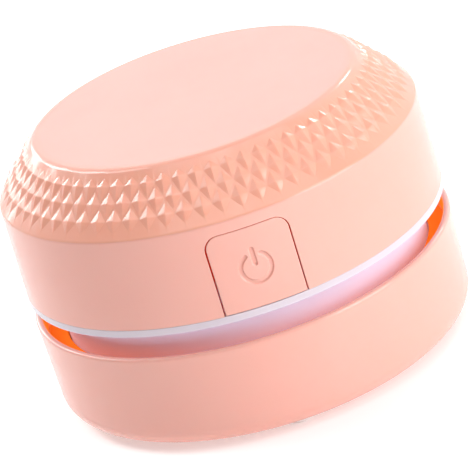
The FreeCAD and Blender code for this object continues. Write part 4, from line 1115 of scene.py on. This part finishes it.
keptNodes = {
    # The lock collar's finish carries a painted orange glow.
    "salmonPlastic": ["inlet_tube"], "salmonCollarPaintedGlow": ["lock_collar"], "glidePlastic": ["glide_pads"],
    "whitePlastic": ["brush_plate", "motor_deck"], "greyPlastic": ["filter_frame", "filter_retainer"],
    "wovenGauze": ["filter_mesh"], "sealSilicone": ["filter_seal"], "blackRubber": ["motor_sleeve"],
    "blackPlastic": ["motor_end_cap", "switch_body", "switch_plunger", "battery_cradle"],
    "drawnSteel": ["motor_can", "motor_shaft", "usb_shell"], "zincSteel": ["motor_screws", "housing_screws"],
    "sinteredBronze": ["lower_bush", "upper_bush"], "bareCopper": ["motor_terminals", "commutator"],
    "magnetFerrite": ["motor_magnets"], "enamelledWire": ["motor_armature"], "fanPlastic": ["impeller"],
    "redInsulation": ["motor_leads"], "circuitBoard": ["control_board"], "chipCompound": ["board_parts"],
    "contactTongue": ["usb_tongue"], "lampLens": ["status_led"], "cellWrap": ["battery_cell"],
    "nickelStrip": ["battery_tabs"],
}
keptWeld, keptCrease = 0.004, 32  # millimetres and degrees


# A kept node is welded and shaded smooth in its modifiers only, with its sharp edges split.
def dressNode(name, finish):
    node = nodes[name]
    node.data.materials.clear()
    node.data.materials.append(finish)
    node.data.polygons.foreach_set("use_smooth", np.ones(len(node.data.polygons), bool))
    weld = node.modifiers.new("weld", "WELD")
    weld.merge_threshold = keptWeld * mm
    split = node.modifiers.new("creases", "EDGE_SPLIT")
    split.split_angle = math.radians(keptCrease)


for finish, names in keptNodes.items():
    for name in names:
        dressNode(name, finishes[finish])
print("stage: kept nodes dressed")

# Floor, light and camera.

floorLook = {
    "half": 6.0,  # half of its width, in metres
    "underlight": 0.38,  # a light table, lit evenly from below
    "surface": {"dark": (0.72, 0.72, 0.72), "light": (0.76, 0.76, 0.76), "cloudScale": 3,
                "roughness": (0.8, 0.9), "grainScale": 400},
}


def makeFloor(look):
    half = look["half"]
    mesh = bpy.data.meshes.new("floor")
    corners = [(-half, -half, 0), (half, -half, 0), (half, half, 0), (-half, half, 0)]
    mesh.from_pydata(corners, [], [(0, 1, 2, 3)])
    material = mouldedMaterial("paleFloor", look["surface"])
    setUp(*shaderOf(material), {"Emission Color": (1, 1, 1, 1), "Emission Strength": look["underlight"]})
    mesh.materials.append(material)
    floor = bpy.data.objects.new("floor", mesh)
    scene.collection.objects.link(floor)


# A direction from the object, in degrees round it from straight in front and upwards.
def direction(turn, rise):
    turn, rise = math.radians(turn), math.radians(rise)
    return Vector(polar(math.cos(rise), turn, math.sin(rise)))


lightLook = {
    "aim": (0, 0, 0.03),
    "distance": 1.2,
    "boxes": {  # turn, rise, width in metres, power
        "keyBox": (50, 18, 0.8, 11.4),
        "sideBox": (85, 20, 0.6, 0.6),
        "upperRightBox": (40, 58, 0.7, 2.4),
        "topBox": (-25, 66, 0.7, 2.5),
        "stripLow": (-153, 15, 0.36, 1.9),
        "stripMiddle": (-138, 31, 0.36, 3.0),
        "stripHigh": (-121, 46, 0.36, 3.0),
        "stripTop": (-104, 61, 0.36, 1.5),
        "backRightBox": (137, 31, 0.2, 1.6),
        "rightBox": (112, 42, 0.8, 0.9),
    },
    "sky": (0.92, 0.95, 1.0, 1),
    "skyFront": 0.03,
    "skyBack": 1.3,
    "skyEdge": 0.8,  # where the sky reaches its full strength towards the back
}


def makeLights(look):
    for name, (turn, rise, width, power) in look["boxes"].items():
        light = bpy.data.lights.new(name, "AREA")
        light.shape = "RECTANGLE"
        light.size = light.size_y = width
        light.energy = power
        lamp = bpy.data.objects.new(name, light)
        lamp.location = Vector(look["aim"]) + direction(turn, rise) * look["distance"]
        lamp.rotation_euler = direction(turn, rise).to_track_quat("Z", "Y").to_euler()
        scene.collection.objects.link(lamp)
    world = bpy.data.worlds.new("studio")
    scene.world = world
    world.use_nodes = True
    tree = world.node_tree
    way = addNode(tree, "TexCoord", {}).outputs["Generated"]
    backwards = addNode(tree, "SeparateXYZ", {"Vector": way}).outputs["Y"]
    strength = mapped(tree, backwards, 0, look["skyEdge"], look["skyFront"], look["skyBack"])
    setUp(tree, tree.nodes["Background"], {"Color": look["sky"], "Strength": strength})


cameraLook = {
    "target": (0, 0, 31.2),
    "turn": -2.7,
    "rise": 21.76,
    "roll": -17.15,
    "distance": 625.8,
    "lens": 241.9,
    "sensor": 36,
    "clip": (0.01, 20),  # metres
    "shift": (0.0171, -0.0545),
}


def makeCamera(look):
    back = direction(look["turn"], look["rise"])
    level = Vector(polar(1, math.radians(look["turn"] + 90), 0))
    above = back.cross(level)
    roll = math.radians(look["roll"])
    right = level * math.cos(roll) + above * math.sin(roll)
    up = above * math.cos(roll) - level * math.sin(roll)
    view = bpy.data.cameras.new("camera")
    view.lens = look["lens"]
    view.sensor_width = look["sensor"]
    view.shift_x, view.shift_y = look["shift"]
    view.clip_start, view.clip_end = look["clip"]
    camera = bpy.data.objects.new("camera", view)
    camera.matrix_world = Matrix((right, up, back)).transposed().to_4x4()
    camera.location = (Vector(look["target"]) + back * look["distance"]) * mm
    scene.collection.objects.link(camera)
    scene.camera = camera


makeFloor(floorLook)
makeLights(lightLook)
makeCamera(cameraLook)
scene.view_settings.view_transform = "Standard"
print("stage: floor, light and camera placed")
